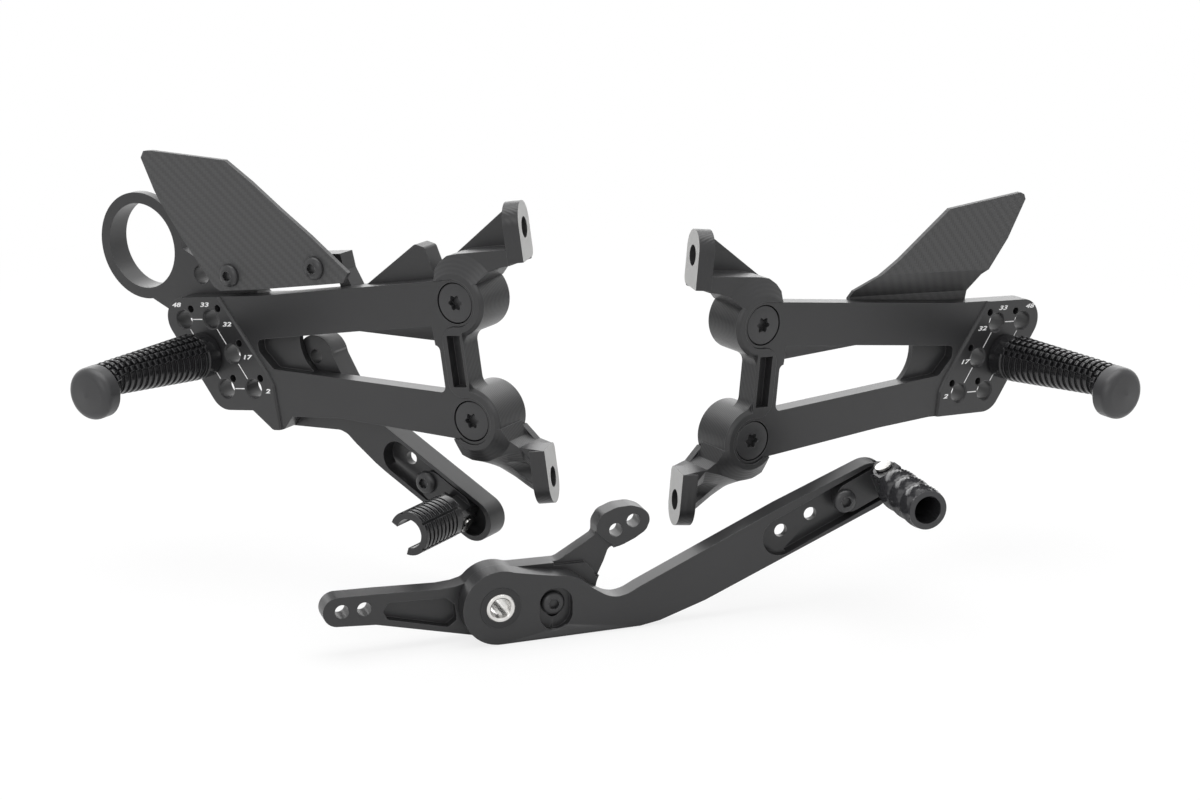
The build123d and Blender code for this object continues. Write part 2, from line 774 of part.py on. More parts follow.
def brake_lever():
    """Brake lever with its pivot hub, cylinder arm and the pocket of the toe holder."""
    low_end, top_end = bar_points(
        BRAKE_BAR, (brake_end_x, -brake_end_r), (brake_end_x, brake_end_r)
    )
    end_centre = bar_points(BRAKE_BAR, (brake_end_x, 0))[0]
    with BuildPart() as lever:
        with BuildSketch(Plane.XY.offset(lever_face - lever_t)):
            with BuildLine():
                Polyline(
                    (pivot_u, pivot_v - pivot_hub_r), (60.2, -34.4), (63.6, -36.0), (67.1, -39.8),
                    (76.1, -48.2), (80.7, -51.9), low_end, top_end, (90.0, -37.2),
                    (77.0, -27.6), (69.5, -20.5), (bell_at[0] + bell_r, bell_at[1]), bell_at,
                    (bell_at[0] - bell_r, bell_at[1]), (40.0, -10.6), (pivot_u, pivot_v),
                    close=True,
                )
            make_face()
            with Locations((pivot_u, pivot_v)):
                Circle(pivot_hub_r)
            with Locations(bell_at):
                Circle(bell_r)
            with Locations(end_centre):
                Circle(brake_end_r)
        extrude(amount=lever_t)
        # thinner web behind the lower arm of the plate
        with BuildSketch(Plane.XY.offset(lever_face - lever_t)):
            with BuildLine():
                Polyline((52.0, -24.0), (70.0, -27.0), (84.0, -37.0), (78.0, -44.0),
                         (66.0, -33.0), (52.0, -30.0), close=True)
            make_face()
        extrude(amount=4.0, mode=Mode.SUBTRACT)
        # pocket and bores along the bar
        with BuildSketch(BRAKE_BAR):
            with Locations((brake_end_x / 2 - 18.0, 0)):
                SlotOverall(brake_end_x + 36.0 + 2 * pocket_half - 1.6, 2 * pocket_half)
        extrude(amount=-brake_pocket, mode=Mode.SUBTRACT)
        with BuildSketch(BRAKE_BAR):
            with Locations((toe_screw_x, 0), (toe_screw_x - toe_hole_step, 0)):
                Circle(toe_hole_r)
        extrude(amount=-lever_t, mode=Mode.SUBTRACT)
        with BuildSketch(Plane.XY.offset(lever_face)):
            with Locations((pivot_u, pivot_v)):
                Circle(pivot_bush_r)
            with Locations(bell_at):
                Circle(rod_hole_r + 0.2)
        extrude(amount=-lever_t, mode=Mode.SUBTRACT)
    return lever.part


save(brake_lever(), RIGHT, "brake_lever")
with BuildPart() as pivot_bush:
    with BuildSketch(Plane.XY.offset(lever_face - lever_t - 0.2)):
        with Locations((pivot_u, pivot_v)):
            Circle(pivot_bush_r)
            Circle(pivot_pin_r + run_gap, mode=Mode.SUBTRACT)
    extrude(amount=lever_t + 0.4)
save(pivot_bush.part, RIGHT, "brake_pivot_bush")
shoulder = plate_back - (lever_face - lever_t) + 0.5
with BuildPart() as pivot_bolt:
    with BuildSketch(Plane.XZ.offset(-pivot_v)):
        with BuildLine():
            Polyline(
                (pivot_u, plate_back + rear_thread - 0.4),
                (pivot_u + pivot_thread_r, plate_back + rear_thread - 0.4),
                (pivot_u + pivot_thread_r, plate_back),
                (pivot_u + pivot_pin_r, plate_back),
                (pivot_u + pivot_pin_r, plate_back - shoulder),
                (pivot_u + 8.0, plate_back - shoulder),
                (pivot_u + 8.0, plate_back - shoulder - 3.0),
                (pivot_u, plate_back - shoulder - 3.0),
                close=True,
            )
        make_face()
    revolve(axis=Axis((pivot_u, pivot_v, 0), (0, 0, 1)))
save(pivot_bolt.part, RIGHT, "brake_pivot_bolt")


def toe_holder(bar, pocket, pin_h, across):
    """Holder in the lever's pocket; its lug carries the toe pin along or across the bar."""
    half = (lug_w / 2, lug_r) if across else (lug_r, lug_w / 2)
    with BuildPart() as holder:
        with BuildSketch(bar.offset(-pocket)):
            with Locations((toe_screw_x / 2 + 1.0, 0)):
                SlotOverall(-toe_screw_x + 2.0 + 2 * tongue_r - 6.0, 2 * tongue_r)
        extrude(amount=pocket - 0.2)
        with BuildSketch(bar.offset(-pocket)):
            Rectangle(2 * half[0], 2 * half[1])
        extrude(amount=pocket + pin_h)
        side = Plane(
            origin=bar.from_local_coords(Vector(0, 0, pin_h)),
            x_dir=bar.y_dir if across else bar.x_dir,
            z_dir=bar.x_dir if across else bar.y_dir,
        )
        with BuildSketch(side):
            Circle(lug_r)
        extrude(amount=lug_w / 2, both=True)
        with BuildSketch(side):
            Circle(toe_pin_r)
        extrude(amount=lug_w, both=True, mode=Mode.SUBTRACT)
        with BuildSketch(bar.offset(-pocket)):
            with Locations((toe_screw_x, 0)):
                Circle(m5_r + 0.2)
        extrude(amount=pocket + 2, mode=Mode.SUBTRACT)
    return holder.part, side


def toe_pin(side):
    """Pin through the ears of the toe peg, with a low head at its far end."""
    with BuildPart() as pin:
        with BuildSketch(side.offset(-ear_out - 0.2)):
            Circle(toe_pin_r)
        extrude(amount=2 * ear_out + 0.6)
        with BuildSketch(side.offset(ear_out + 0.35)):
            Circle(toe_pin_r + 1.3)
        extrude(amount=0.9)
    return pin.part


def toe_peg(bar, side, pin_h, length, shell):
    """Toe peg with two ears on the pin: a plain tube, or a half shell on a round core."""
    with BuildPart() as peg:
        for way in (1, -1):
            start = ear_in if way > 0 else -ear_out
            with BuildSketch(side.offset(start)):
                Circle(toe_root)
            extrude(amount=ear_out - ear_in)
        ear_x = (ear_in + ear_out) / 2
        with BuildSketch(bar.offset(pin_h)):
            for way in (1, -1):
                at = (way * ear_x, 0) if side.z_dir.dot(bar.x_dir) > 0.5 else (0, way * ear_x)
                size = (ear_out - ear_in, 2 * toe_root)
                size = size if side.z_dir.dot(bar.x_dir) > 0.5 else size[::-1]
                with Locations(at):
                    Rectangle(*size)
        extrude(amount=toe_root + 1.0)
        with BuildSketch(bar.offset(pin_h + toe_root)):
            Circle(toe_peg_r)
        extrude(amount=8.0 if shell else length - toe_root)
        if shell:
            with BuildSketch(bar.offset(pin_h + toe_root)):
                Circle(shell_r)
                Circle(shell_r - shell_wall, mode=Mode.SUBTRACT)
                with BuildLine():
                    Polyline((-14, -1), (-3, -1), (2, -3), (4, -14), (-14, -14), close=True)
                make_face(mode=Mode.SUBTRACT)
            extrude(amount=length - toe_root)
            for k in range(shell_ribs):
                at = pin_h + length - shell_rib_pitch * (k + 1)
                with BuildSketch(bar.offset(at)):
                    Circle(shell_r + 1)
                    Circle(shell_r - shell_rib_h, mode=Mode.SUBTRACT)
                extrude(amount=shell_rib_pitch * 0.4, mode=Mode.SUBTRACT)
            with BuildSketch(bar.offset(pin_h + toe_root)):
                with PolarLocations(shell_r, 3, start_angle=-10, angular_range=150,
                                    endpoint=True):
                    Rectangle(2 * shell_rib_h, 1.1)
            extrude(amount=length - toe_root, mode=Mode.SUBTRACT)
        else:
            with BuildSketch(bar.offset(pin_h + length)):
                Circle(toe_bore_r)
            extrude(amount=-length + 9.0, mode=Mode.SUBTRACT)
        with BuildSketch(side):
            Circle(toe_pin_r + run_gap)
        extrude(amount=12, both=True, mode=Mode.SUBTRACT)
    return peg.part


toe_sets = (
    ("brake", RIGHT, BRAKE_BAR, brake_pocket, lever_t, 5.0, 29.5, True),
    ("shift", SHIFT, SHIFT_BAR, shift_pocket, shift_t, 6.0, 34.5, False),
)
for group, plane, bar, pocket, thick, pin_h, length, across in toe_sets:
    holder, side = toe_holder(bar, pocket, pin_h, across)
    save(holder, plane, f"{group}_toe_holder")
    save(toe_pin(side), plane, f"{group}_toe_pin")
    save(toe_peg(bar, side, pin_h, length, across), plane, f"{group}_toe_peg")
    screw = button_screw(toe_head_r, 2.6, m5_r, thick - 0.8, 2.4)
    seat = bar.from_local_coords(Vector(toe_screw_x, 0, -0.2))
    save(screw.moved(Location(seat)), plane, f"{group}_toe_screw")


def shift_lever():
    """Front plate of the shift lever with the clamp recess and the toe pocket."""
    low_end, top_end = bar_points(
        SHIFT_BAR, (shift_end_x, -shift_end_r), (shift_end_x, shift_end_r)
    )
    end_centre = bar_points(SHIFT_BAR, (shift_end_x, 0))[0]
    with BuildPart() as lever:
        with BuildSketch(Plane.XY.offset(-shift_t)):
            with BuildLine():
                Polyline(
                    (0, -hub_r), (57.0, -14.6), (65.2, -13.3), (84.2, -7.2), (107.5, 2.6),
                    low_end, top_end, (115.5, 27.8), (81.8, 12.9), (56.8, 2.0), (50.5, -1.2),
                    (44.5, -1.0), (37.5, 3.6), (31.0, 9.2), (18.0, 11.4), (0, hub_r),
                    close=True,
                )
            make_face()
            Circle(hub_r)
            with Locations(end_centre):
                Circle(shift_end_r)
        extrude(amount=shift_t)
        # recess of the clamp screw and its slot
        with BuildSketch(Plane.XY):
            with Locations((22.3, -3.0)):
                SlotOverall(17.6, 13.6, rotation=90)
        extrude(amount=-3.4, mode=Mode.SUBTRACT)
        with BuildSketch(Plane.XY):
            with Locations((22.0, -2.6)):
                SlotOverall(9.6, 2 * m5_r + 0.4, rotation=90)
        extrude(amount=-shift_t, mode=Mode.SUBTRACT)
        # pocket and bores along the bar
        with BuildSketch(SHIFT_BAR):
            with Locations((-24.0, 0)):
                SlotOverall(64.0, 2 * 7.8)
        extrude(amount=-shift_pocket, mode=Mode.SUBTRACT)
        with BuildSketch(SHIFT_BAR):
            for k in range(3):
                with Locations((toe_screw_x - k * toe_hole_step, 0)):
                    Circle(toe_hole_r)
        extrude(amount=-shift_t, mode=Mode.SUBTRACT)
        with BuildSketch(Plane.XY):
            Circle(bearing_r)
        extrude(amount=-shift_t, mode=Mode.SUBTRACT)
    return lever.part


def shift_rocker():
    """Rear rocker with the two link bosses, clamped to the lever."""
    left_r = 5.9
    with BuildPart() as rocker:
        with BuildSketch(Plane.XY.offset(rocker_back)):
            with BuildLine():
                Polyline(
                    (-62.0, 3.2 + left_r), (-47.1, 8.7), (-21.9, 7.6), (-15.9, 8.0),
                    (-9.7, 9.5), (-5.6, 12.2), (-0.7, 13.4), (26.2, 12.9), (41.6, 21.7),
                    (41.6, 26.7), (44.1, 30.6), (49.9, 32.8), (56.1, 33.0), (60.4, 31.4),
                    (63.0, 29.2), (63.8, 26.1), (62.1, 22.1), (57.5, 19.3), (52.1, 17.0),
                    (47.1, 16.0), (45.1, 10.7), (41.7, 3.6), (40.0, -4.0), (30.0, -11.0),
                    (14.0, -13.6), (0, -14.5), (-8.0, -13.2), (-47.4, -3.7),
                    (-62.0, 3.2 - left_r), close=True,
                )
            make_face()
            with Locations((-62.0, 3.2)):
                Circle(left_r)
            Circle(hub_r - 0.5)
        extrude(amount=-shift_t - rocker_back)
        # step under the front plate
        with BuildSketch(Plane.XY.offset(-shift_t)):
            with BuildLine():
                Polyline(
                    (24.0, 11.7), (36.8, 11.5), (39.7, 9.0), (41.3, 4.9), (48.0, 8.0),
                    (48.6, 17.0), (43.5, 21.5), (40.0, 25.0), (24.0, 25.0), close=True,
                )
            make_face()
        extrude(amount=rocker_step + shift_t, mode=Mode.SUBTRACT)
        # pocket in the left arm
        with BuildSketch(Plane.XY.offset(-shift_t)) as pocket:
            with BuildLine():
                Polyline(
                    (-42.5, 4.6), (-19.6, 3.8), (-16.1, 0.5), (-15.4, -5.8), (-19.0, -8.3),
                    (-42.7, -2.3), (-44.6, 1.2), close=True,
                )
            make_face()
            fillet(pocket.vertices(), 1.2)
        extrude(amount=-4.0, mode=Mode.SUBTRACT)
        with BuildSketch(Plane.XY.offset(-shift_t)):
            Circle(bearing_r)
            with Locations(*link_left, *link_right):
                Circle(rod_hole_r)
            with Locations((21.8, -1.4)):
                Circle(m5_r)
        extrude(amount=rocker_back + shift_t, mode=Mode.SUBTRACT)
    return rocker.part


save(shift_lever(), SHIFT, "shift_lever")
save(shift_rocker(), SHIFT, "shift_rocker")
with BuildPart() as bearing:
    with BuildSketch(Plane.XY.offset(rocker_back)):
        Circle(bearing_r)
        Circle(bush_r + run_gap, mode=Mode.SUBTRACT)
    extrude(amount=-rocker_back + 0.2)
save(bearing.part, SHIFT, "shift_bearing")
with BuildPart() as bush:
    with BuildSketch(Plane.XY.offset(rocker_back - 0.4)):
        Circle(bush_r)
        Circle(bush_bore_r, mode=Mode.SUBTRACT)
    extrude(amount=-rocker_back + 1.0)
    chamfer(bush.faces().sort_by(Axis.Z)[-1].edges(), 0.4)
save(bush.part, SHIFT, "shift_pivot_bush")
clamp_screw = button_screw(toe_head_r, 2.6, m5_r, -rocker_back - 4.0, 2.4)
save(clamp_screw.moved(Location((21.8, -1.4, -3.4))), SHIFT, "shift_clamp_screw")
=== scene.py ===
import json
import math

import bmesh
import bpy
from mathutils import Euler, Matrix, Vector


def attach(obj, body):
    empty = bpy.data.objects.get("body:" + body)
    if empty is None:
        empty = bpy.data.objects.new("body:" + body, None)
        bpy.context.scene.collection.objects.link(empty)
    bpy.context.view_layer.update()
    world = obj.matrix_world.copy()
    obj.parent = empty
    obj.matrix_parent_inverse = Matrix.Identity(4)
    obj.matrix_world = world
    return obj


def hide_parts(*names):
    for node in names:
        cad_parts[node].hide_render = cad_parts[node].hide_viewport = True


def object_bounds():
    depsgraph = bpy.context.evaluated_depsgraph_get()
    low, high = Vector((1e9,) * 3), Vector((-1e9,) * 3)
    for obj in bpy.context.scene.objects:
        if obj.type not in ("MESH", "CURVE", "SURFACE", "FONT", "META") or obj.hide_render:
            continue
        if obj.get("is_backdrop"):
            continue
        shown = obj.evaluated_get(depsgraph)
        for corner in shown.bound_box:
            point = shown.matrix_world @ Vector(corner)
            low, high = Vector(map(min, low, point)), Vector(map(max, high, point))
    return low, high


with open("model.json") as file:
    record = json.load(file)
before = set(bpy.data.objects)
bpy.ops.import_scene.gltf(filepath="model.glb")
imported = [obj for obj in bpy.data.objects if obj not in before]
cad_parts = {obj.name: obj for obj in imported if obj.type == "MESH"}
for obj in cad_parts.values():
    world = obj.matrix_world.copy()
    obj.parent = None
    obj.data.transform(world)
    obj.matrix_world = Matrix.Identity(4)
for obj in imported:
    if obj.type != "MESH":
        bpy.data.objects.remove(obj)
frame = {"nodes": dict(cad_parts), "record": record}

bl_info = {
    "name": "Rear sets dressing",
    "version": (1, 0, 0),
    "blender": (4, 5, 0),
    "location": "View3D > Sidebar > Rear sets",
    "description": "Finishes, marks, grips and studio for the rear sets",
    "category": "Object",
}

# Lengths are in millimetres and angles in degrees, unless a name or comment says otherwise.
MM = 0.001
FIXED = "fixed_parts"
BRAKE = "brake_lever_body"
SHIFTER = "shift_lever_body"
SHIFT_TOE = "shift_toe"


def turned_frame(turn, tilt, hand, origin):
    """Matrix of a group's flat frame: X along the plate, Y up it, Z outboard."""
    swing, lean = math.radians(turn), math.radians(tilt)
    normal = Vector((-hand * math.sin(swing), -math.cos(swing), 0))
    level = Vector((hand * math.cos(swing), -math.sin(swing), 0))
    along = level * math.cos(lean) + Vector((0, 0, 1)) * math.sin(lean)
    across = along * hand
    up = normal.cross(across)
    place = Matrix((across, up, normal)).transposed().to_4x4()
    place.translation = origin
    return place


# Frame pads of a bracket in its group's frame, and how far their faces turn from the plate.
PAD_TOP = Vector((164.0, 47.7, -12.5))
PAD_LOW = Vector((161.7, -52.8, -12.5))
PAD_TURN = 20.3

# The right group's upper pad is the origin of the whole set.
RIGHT = turned_frame(32.3, 8.6, 1, Vector((0, 0, 0)))
RIGHT.translation = -(RIGHT @ PAD_TOP)
LEFT = turned_frame(34.6, 5.7, -1, Vector((203.3, 91.7, -77.9)))
SHIFT = turned_frame(-18.8, 0, 1, Vector((-8.8, -49.6, -138.8)))
SIDES = (("right", RIGHT, 1), ("left", LEFT, -1))

# Milled levers that get rounded outlines: node, body, frame and radius of the corners.
MILLED = (
    ("shift_rocker", SHIFTER, SHIFT, 2.6),
    ("shift_lever", SHIFTER, SHIFT, 6.0),
    ("brake_lever", BRAKE, RIGHT, 6.0),
)
LEVER_RIM = 0.35
SHORTEST_CORNER = 3
CORNER_BEND = (0.2, 1.4)  # radians
RIM_BEND = 1.0  # radians

# Footpeg sleeve, measured along the peg from the plate's face.
SLEEVE_START = 8.0
SLEEVE_STOP = 63.4
SLEEVE_BORE_R = 2.0
SLEEVE_BASE_R = 8.6
SLEEVE_TIP_R = 6.2
SLEEVE_RISE = 3.4
FLARE_START = 57.4
FLARE_R = 9.6
CAP_R = 10.8
RING_FIRST = 0.3
RING_T = 1.75
RING_H = 0.9
RING_EDGE = 0.25
RING_SHOULDER = 0.12
RING_PROFILE = (
    (0, 0),
    (RING_SHOULDER, RING_H - RING_SHOULDER),
    (RING_EDGE, RING_H),
    (RING_T - RING_EDGE, RING_H),
    (RING_T - RING_SHOULDER, RING_H - RING_SHOULDER),
    (RING_T, 0),
)
STUDS_PER_RING = 8
STUD_STEP = 19.0
STUD_W = 2.2
STUD_FOOT = 0.8
STUD_EDGE = 0.28
STUD_LOWEST = 0.35

# Shift toe peg: where its pin crosses the lever's bar, then its ears and its tube. Heights
# are measured from the face of the lever, and an ear's two faces from the middle of the peg.
TOE_PIN = (160.2, 35.2)
TOE_TURN = 24.0
TOE_PIN_H = 6.0
TOE_PIN_BORE_R = 2.05
TOE_PIN_GAP = 2.1
TOE_EAR = (4.3, 7.4)
TOE_EAR_R = 4.9
TOE_EAR_EDGE = 0.4
TOE_EAR_LAP = 1.0
TOE_TUBE = (10.9, 40.5)
TOE_TUBE_R = 8.2
TOE_BORE_R = 5.5
TOE_BORE_END = 15.0
TOE_WAIST = 0.75
TOE_SWELLS = 3
TOE_ROWS = 30
TOE_AROUND = 48


def on_bar(origin, turn, x):
    """Place on a lever's bar, measured along it from the toe pin."""
    a = math.radians(turn)
    return (origin[0] + x * math.cos(a), origin[1] + x * math.sin(a), origin[2])


# Screws: head radius, head height, shank radius, length below the seat, recess radius, domed.
LOW_HEAD = (8.0, 4.6, 4.0, 17.8, 3.1, False)
PEG_HEAD = (6.5, 7.0, 4.0, 41.0, 3.2, False)
REAR_HEAD = (4.6, 2.4, 2.5, 12.4, 2.3, True)
FOOT_HEAD = (4.6, 2.4, 2.5, 6.4, 2.3, True)
GUARD_HEAD = (4.8, 2.4, 2.5, 15.0, 2.4, True)
BRAKE_TOE_HEAD = (4.8, 2.6, 2.5, 9.2, 2.4, True)
SHIFT_TOE_HEAD = (4.8, 2.6, 2.5, 7.2, 2.4, True)
CLAMP_HEAD = (4.8, 2.6, 2.5, 12.0, 2.4, True)
TOE_SCREW_X = -18.5
BRAKE_TOE_SEAT = on_bar((116.0, -66.8, -8.7), -36.5, TOE_SCREW_X)
SHIFT_TOE_SEAT = on_bar((*TOE_PIN, -0.2), TOE_TURN, TOE_SCREW_X)

# Node, body, frame, seat in that frame, which way the head points, and the screw's sizes.
SCREWS = (
    ("right_upper_bracket_screw", FIXED, RIGHT, (133.8, 20.2, -1.4), 1, LOW_HEAD),
    ("right_lower_bracket_screw", FIXED, RIGHT, (133.8, -27.7, -1.4), 1, LOW_HEAD),
    ("left_upper_bracket_screw", FIXED, LEFT, (-133.8, 20.2, -1.4), 1, LOW_HEAD),
    ("left_lower_bracket_screw", FIXED, LEFT, (-133.8, -27.7, -1.4), 1, LOW_HEAD),
    ("right_peg_bolt", FIXED, RIGHT, (0, 0, -15.0), -1, PEG_HEAD),
    ("left_peg_bolt", FIXED, LEFT, (0, 0, -15.0), -1, PEG_HEAD),
    ("carrier_inner_screw", FIXED, RIGHT, (45.0, 16.6, -16.0), -1, REAR_HEAD),
    ("carrier_outer_screw", FIXED, RIGHT, (104.0, 17.6, -16.0), -1, REAR_HEAD),
    ("right_guard_inner_screw", FIXED, RIGHT, (20.7, 33.6, 0), 1, GUARD_HEAD),
    ("right_guard_outer_screw", FIXED, RIGHT, (66.6, 35.9, 0), 1, GUARD_HEAD),
    ("left_guard_inner_screw", FIXED, LEFT, (-30.0, 17.0, -10.0), -1, FOOT_HEAD),
    ("left_guard_outer_screw", FIXED, LEFT, (-76.0, 18.6, -10.0), -1, FOOT_HEAD),
    ("brake_toe_screw", BRAKE, RIGHT, BRAKE_TOE_SEAT, 1, BRAKE_TOE_HEAD),
    ("shift_toe_screw", SHIFTER, SHIFT, SHIFT_TOE_SEAT, 1, SHIFT_TOE_HEAD),
    ("shift_clamp_screw", SHIFTER, SHIFT, (21.8, -1.4, -3.4), 1, CLAMP_HEAD),
)
HEAD_EDGE_R = 0.4
DOME_FOOT = 0.25  # share of the head's height below the dome
DOME_FLAT = 0.42  # share of the head's radius that stays flat on top
RECESS_DEPTH = 0.6  # share of the head's height
RECESS_LEAD_H = 0.25
RECESS_LEAD_R = 0.22
SCREW_POINT = 0.5

# Hole numbers with their places, the hole centres, and which holes a fine line joins.
MARKS = (
    ("48", -12.2, 21.3),
    ("33", 3.6, 21.2),
    ("32", 14.4, 12.7),
    ("17", 22.5, -1.5),
    ("2", 31.2, -16.1),
)
HOLES = {
    "TL": (-8.7, 15.0), "TR": (6.3, 15.0), "ML": (0.0, 0.0), "MR": (15.0, 0.0),
    "BL": (8.7, -15.0), "BR": (23.7, -15.0),
}
LINKS = (("TL", "TR"), ("TR", "MR"), ("MR", "BR"), ("BL", "BR"), ("TL", "ML"), ("ML", "BL"))
HOLE_MARGIN = 4.9
MARK_LIFT = 0.02
DIGIT_SIZE = 1.42  # font size for a digit one unit high
DIGIT_STRETCH = 1.9
DIGIT_SLANT = 0.25
DIGIT_BOLD = 0.03

# Fine detail of the finishes, in metres.
STEP_PITCH = 0.0009
STEP_BUMP = 0.00006
GRAIN_BUMP = 0.00008
PAD_BUMP = 0.00005
STEEL_BUMP = 0.00005
TOW_BUMP = 0.00012

# Index of refraction of the satin finishes, and the painted highlight that lightens the black
# at a corner:
# the cosines of the shading's turn at which it starts and is full, and the share it then
# takes.
GLOSS_IOR = 1.5
HIGHLIGHT_TURN = (0.97, 0.72)
HIGHLIGHT_SHARE = 0.8

# Studio, in metres.
CAMERA_PLACE = (0.0293, -0.9463, 0.2174)
AIM = (0.03, 0.0, -0.05)
FLOOR_HALF = 20
FLOOR_GAP = 0.0002
FLOOR_WHITE = (0.86, 0.86, 0.86, 1)
GLOW_REACH = (0.15, 0.7)
GLOW_SHARE = (0.8, 1.0)
WORLD_LEVEL = (0.55, 1.0)


def colour_setting(name, description, default):
    """Property that holds one colour."""
    return bpy.props.FloatVectorProperty(
        name=name, description=description, subtype="COLOR", size=3, min=0, max=1,
        default=default,
    )


def length_setting(name, description, default, low, high):
    """Property that holds a length in metres."""
    return bpy.props.FloatProperty(
        name=name, description=description, subtype="DISTANCE", unit="LENGTH", min=low,
        max=high, default=default,
    )


def power_setting(name, description, default):
    """Property that holds a lamp's power."""
    return bpy.props.FloatProperty(
        name=name, description=description, unit="POWER", min=0, max=200, default=default
    )


class AnodisingSettings(bpy.types.PropertyGroup):
    """Black finishes of the metal parts"""

    colour: colour_setting(
        "Anodised black", "Base colour of the satin black metal", (0.021, 0.021, 0.022)
    )
    roughness: bpy.props.FloatProperty(
        name="Roughness", description="Roughness of the satin metal", min=0, max=1,
        default=0.36,
    )
    grip_colour: colour_setting(
        "Grip black", "Base colour of the footpegs and toe pegs", (0.012, 0.012, 0.013)
    )
    steel_colour: colour_setting(
        "Bright steel", "Colour of the bush and the toe pins", (0.72, 0.71, 0.69)
    )


class CarbonSettings(bpy.types.PropertyGroup):
    """Woven heel guards"""

    tow: length_setting("Tow width", "Width of one tow of the weave", 0.0012, 0.0005, 0.01)
    light_colour: colour_setting("Warp", "Colour of the lighter tows", (0.058, 0.058, 0.059))
    dark_colour: colour_setting("Weft", "Colour of the darker tows", (0.047, 0.047, 0.048))


class GripSettings(bpy.types.PropertyGroup):
    """Rings and studs of the footpegs, diamonds of the shift toe peg"""

    ring_pitch: length_setting(
        "Ring pitch", "Distance from ring to ring along the footpeg", 0.0033, 0.001, 0.01
    )
    stud_height: length_setting(
        "Stud height", "Height of the square studs above the rings", 0.0014, 0.0002, 0.004
    )
    knurl_depth: length_setting(
        "Knurl depth", "Depth of the diamonds round the toe peg", 0.00025, 0.00005, 0.001
    )


class MarkSettings(bpy.types.PropertyGroup):
    """Numbers and lines beside the adjustment holes"""

    digit_height: length_setting("Digit height", "Height of the numbers", 0.0018, 0.001, 0.01)
    line_width: length_setting("Line width", "Width of the fine lines", 0.00042, 0.0001, 0.002)


class StudioSettings(bpy.types.PropertyGroup):
    """Camera and lights"""

    lens: bpy.props.FloatProperty(
        name="Lens", description="Focal length of the camera in millimetres", min=10, max=300,
        default=75,
    )
    pitch: bpy.props.FloatProperty(
        name="Pitch", description="How far the camera looks down", subtype="ANGLE",
        default=math.radians(16.9),
    )
    top_power: power_setting("Top light", "Power of the overhead panel", 11)
    rear_power: power_setting("Rear light", "Power of the panel behind the parts", 11)
    front_power: power_setting("Front light", "Power of the front panel", 4)


def new_material(name):
    """Empty node material with its surface shader; returns material, nodes, links, shader."""
    made = bpy.data.materials.new(name)
    made.use_nodes = True
    nodes, links = made.node_tree.nodes, made.node_tree.links
    shader = next(n for n in nodes if n.type == "BSDF_PRINCIPLED")
    return made, nodes, links, shader


def maths(nodes, links, kind, first, second=None):
    """One step of arithmetic on sockets or numbers; returns its result."""
    node = nodes.new("ShaderNodeMath")
    node.operation = kind
    for socket, value in zip(node.inputs, (first, second)):
        if value is None:
            continue
        if isinstance(value, (int, float)):
            socket.default_value = value
        else:
            links.new(value, socket)
    return node.outputs[0]


def rescale(nodes, links, value, source, result):
    """Carry a value from one range to another, each given as (low, high)."""
    node = nodes.new("ShaderNodeMapRange")
    node.inputs["From Min"].default_value, node.inputs["From Max"].default_value = source
    node.inputs["To Min"].default_value, node.inputs["To Max"].default_value = result
    links.new(value, node.inputs["Value"])
    return node


def speckle(nodes, links, where, scale, detail=2.0):
    """Noise in the piece's own space; returns its value."""
    node = nodes.new("ShaderNodeTexNoise")
    node.inputs["Scale"].default_value = scale
    node.inputs["Detail"].default_value = detail
    links.new(where, node.inputs["Vector"])
    return node.outputs["Fac"]


def in_frame(nodes, links, where, place):
    """The piece's own space turned into its group's frame; returns X, Y and Z."""
    lay = nodes.new("ShaderNodeMapping")
    lay.inputs["Rotation"].default_value = place.to_3x3().inverted().to_euler()
    links.new(where, lay.inputs["Vector"])
    split = nodes.new("ShaderNodeSeparateXYZ")
    links.new(lay.outputs["Vector"], split.inputs["Vector"])
    return split.outputs


def shade_between(nodes, links, fac, low, high, target=None):
    """Colour that varies between two tones, fed into a socket where one is given."""
    ramp = nodes.new("ShaderNodeValToRGB")
    ramp.color_ramp.elements[0].color = (*low, 1)
    ramp.color_ramp.elements[1].color = (*high, 1)
    links.new(fac, ramp.inputs["Fac"])
    if target is not None:
        links.new(ramp.outputs["Color"], target)
    return ramp.outputs["Color"]


def fine_bump(nodes, links, height, shader, strength, distance):
    """Turn a height into a bump on the shader's normal."""
    bump = nodes.new("ShaderNodeBump")
    bump.inputs["Strength"].default_value = strength
    bump.inputs["Distance"].default_value = distance
    links.new(height, bump.inputs["Height"])
    links.new(bump.outputs["Normal"], shader.inputs["Normal"])
    return bump


def edge_bevel_and_highlight(nodes, links, width, tone, edge_highlight_tone):
    """Soften the corners in the shading and paint a highlight on them; returns normal and
    colour.
    """
    soft = nodes.new("ShaderNodeBevel")
    soft.samples = 6
    soft.inputs["Radius"].default_value = width
    surface = nodes.new("ShaderNodeNewGeometry")
    facing = nodes.new("ShaderNodeVectorMath")
    facing.operation = "DOT_PRODUCT"
    links.new(soft.outputs["Normal"], facing.inputs[0])
    links.new(surface.outputs["Normal"], facing.inputs[1])
    # Mask of the corners that get the painted highlight colour.
    edge_highlight_mask = rescale(nodes, links, facing.outputs["Value"], HIGHLIGHT_TURN, (0.0, HIGHLIGHT_SHARE))
    blend = nodes.new("ShaderNodeMix")
    blend.data_type = "RGBA"
    links.new(edge_highlight_mask.outputs["Result"], blend.inputs["Factor"])
    links.new(tone, blend.inputs["A"])
    blend.inputs["B"].default_value = (*edge_highlight_tone, 1)
    return soft.outputs["Normal"], blend.outputs["Result"]


def cutter_steps(nodes, links, where, place, bump, shader):
    """Fine steps that a ball-end cutter leaves, level in the group's own depth."""
    depth = in_frame(nodes, links, where, place)["Z"]
    turns = maths(nodes, links, "MULTIPLY", depth, 2 * math.pi / STEP_PITCH)
    wave = maths(nodes, links, "SINE", turns)
    steps = fine_bump(nodes, links, wave, shader, 0.35, STEP_BUMP)
    links.new(bump.outputs["Normal"], steps.inputs["Normal"])


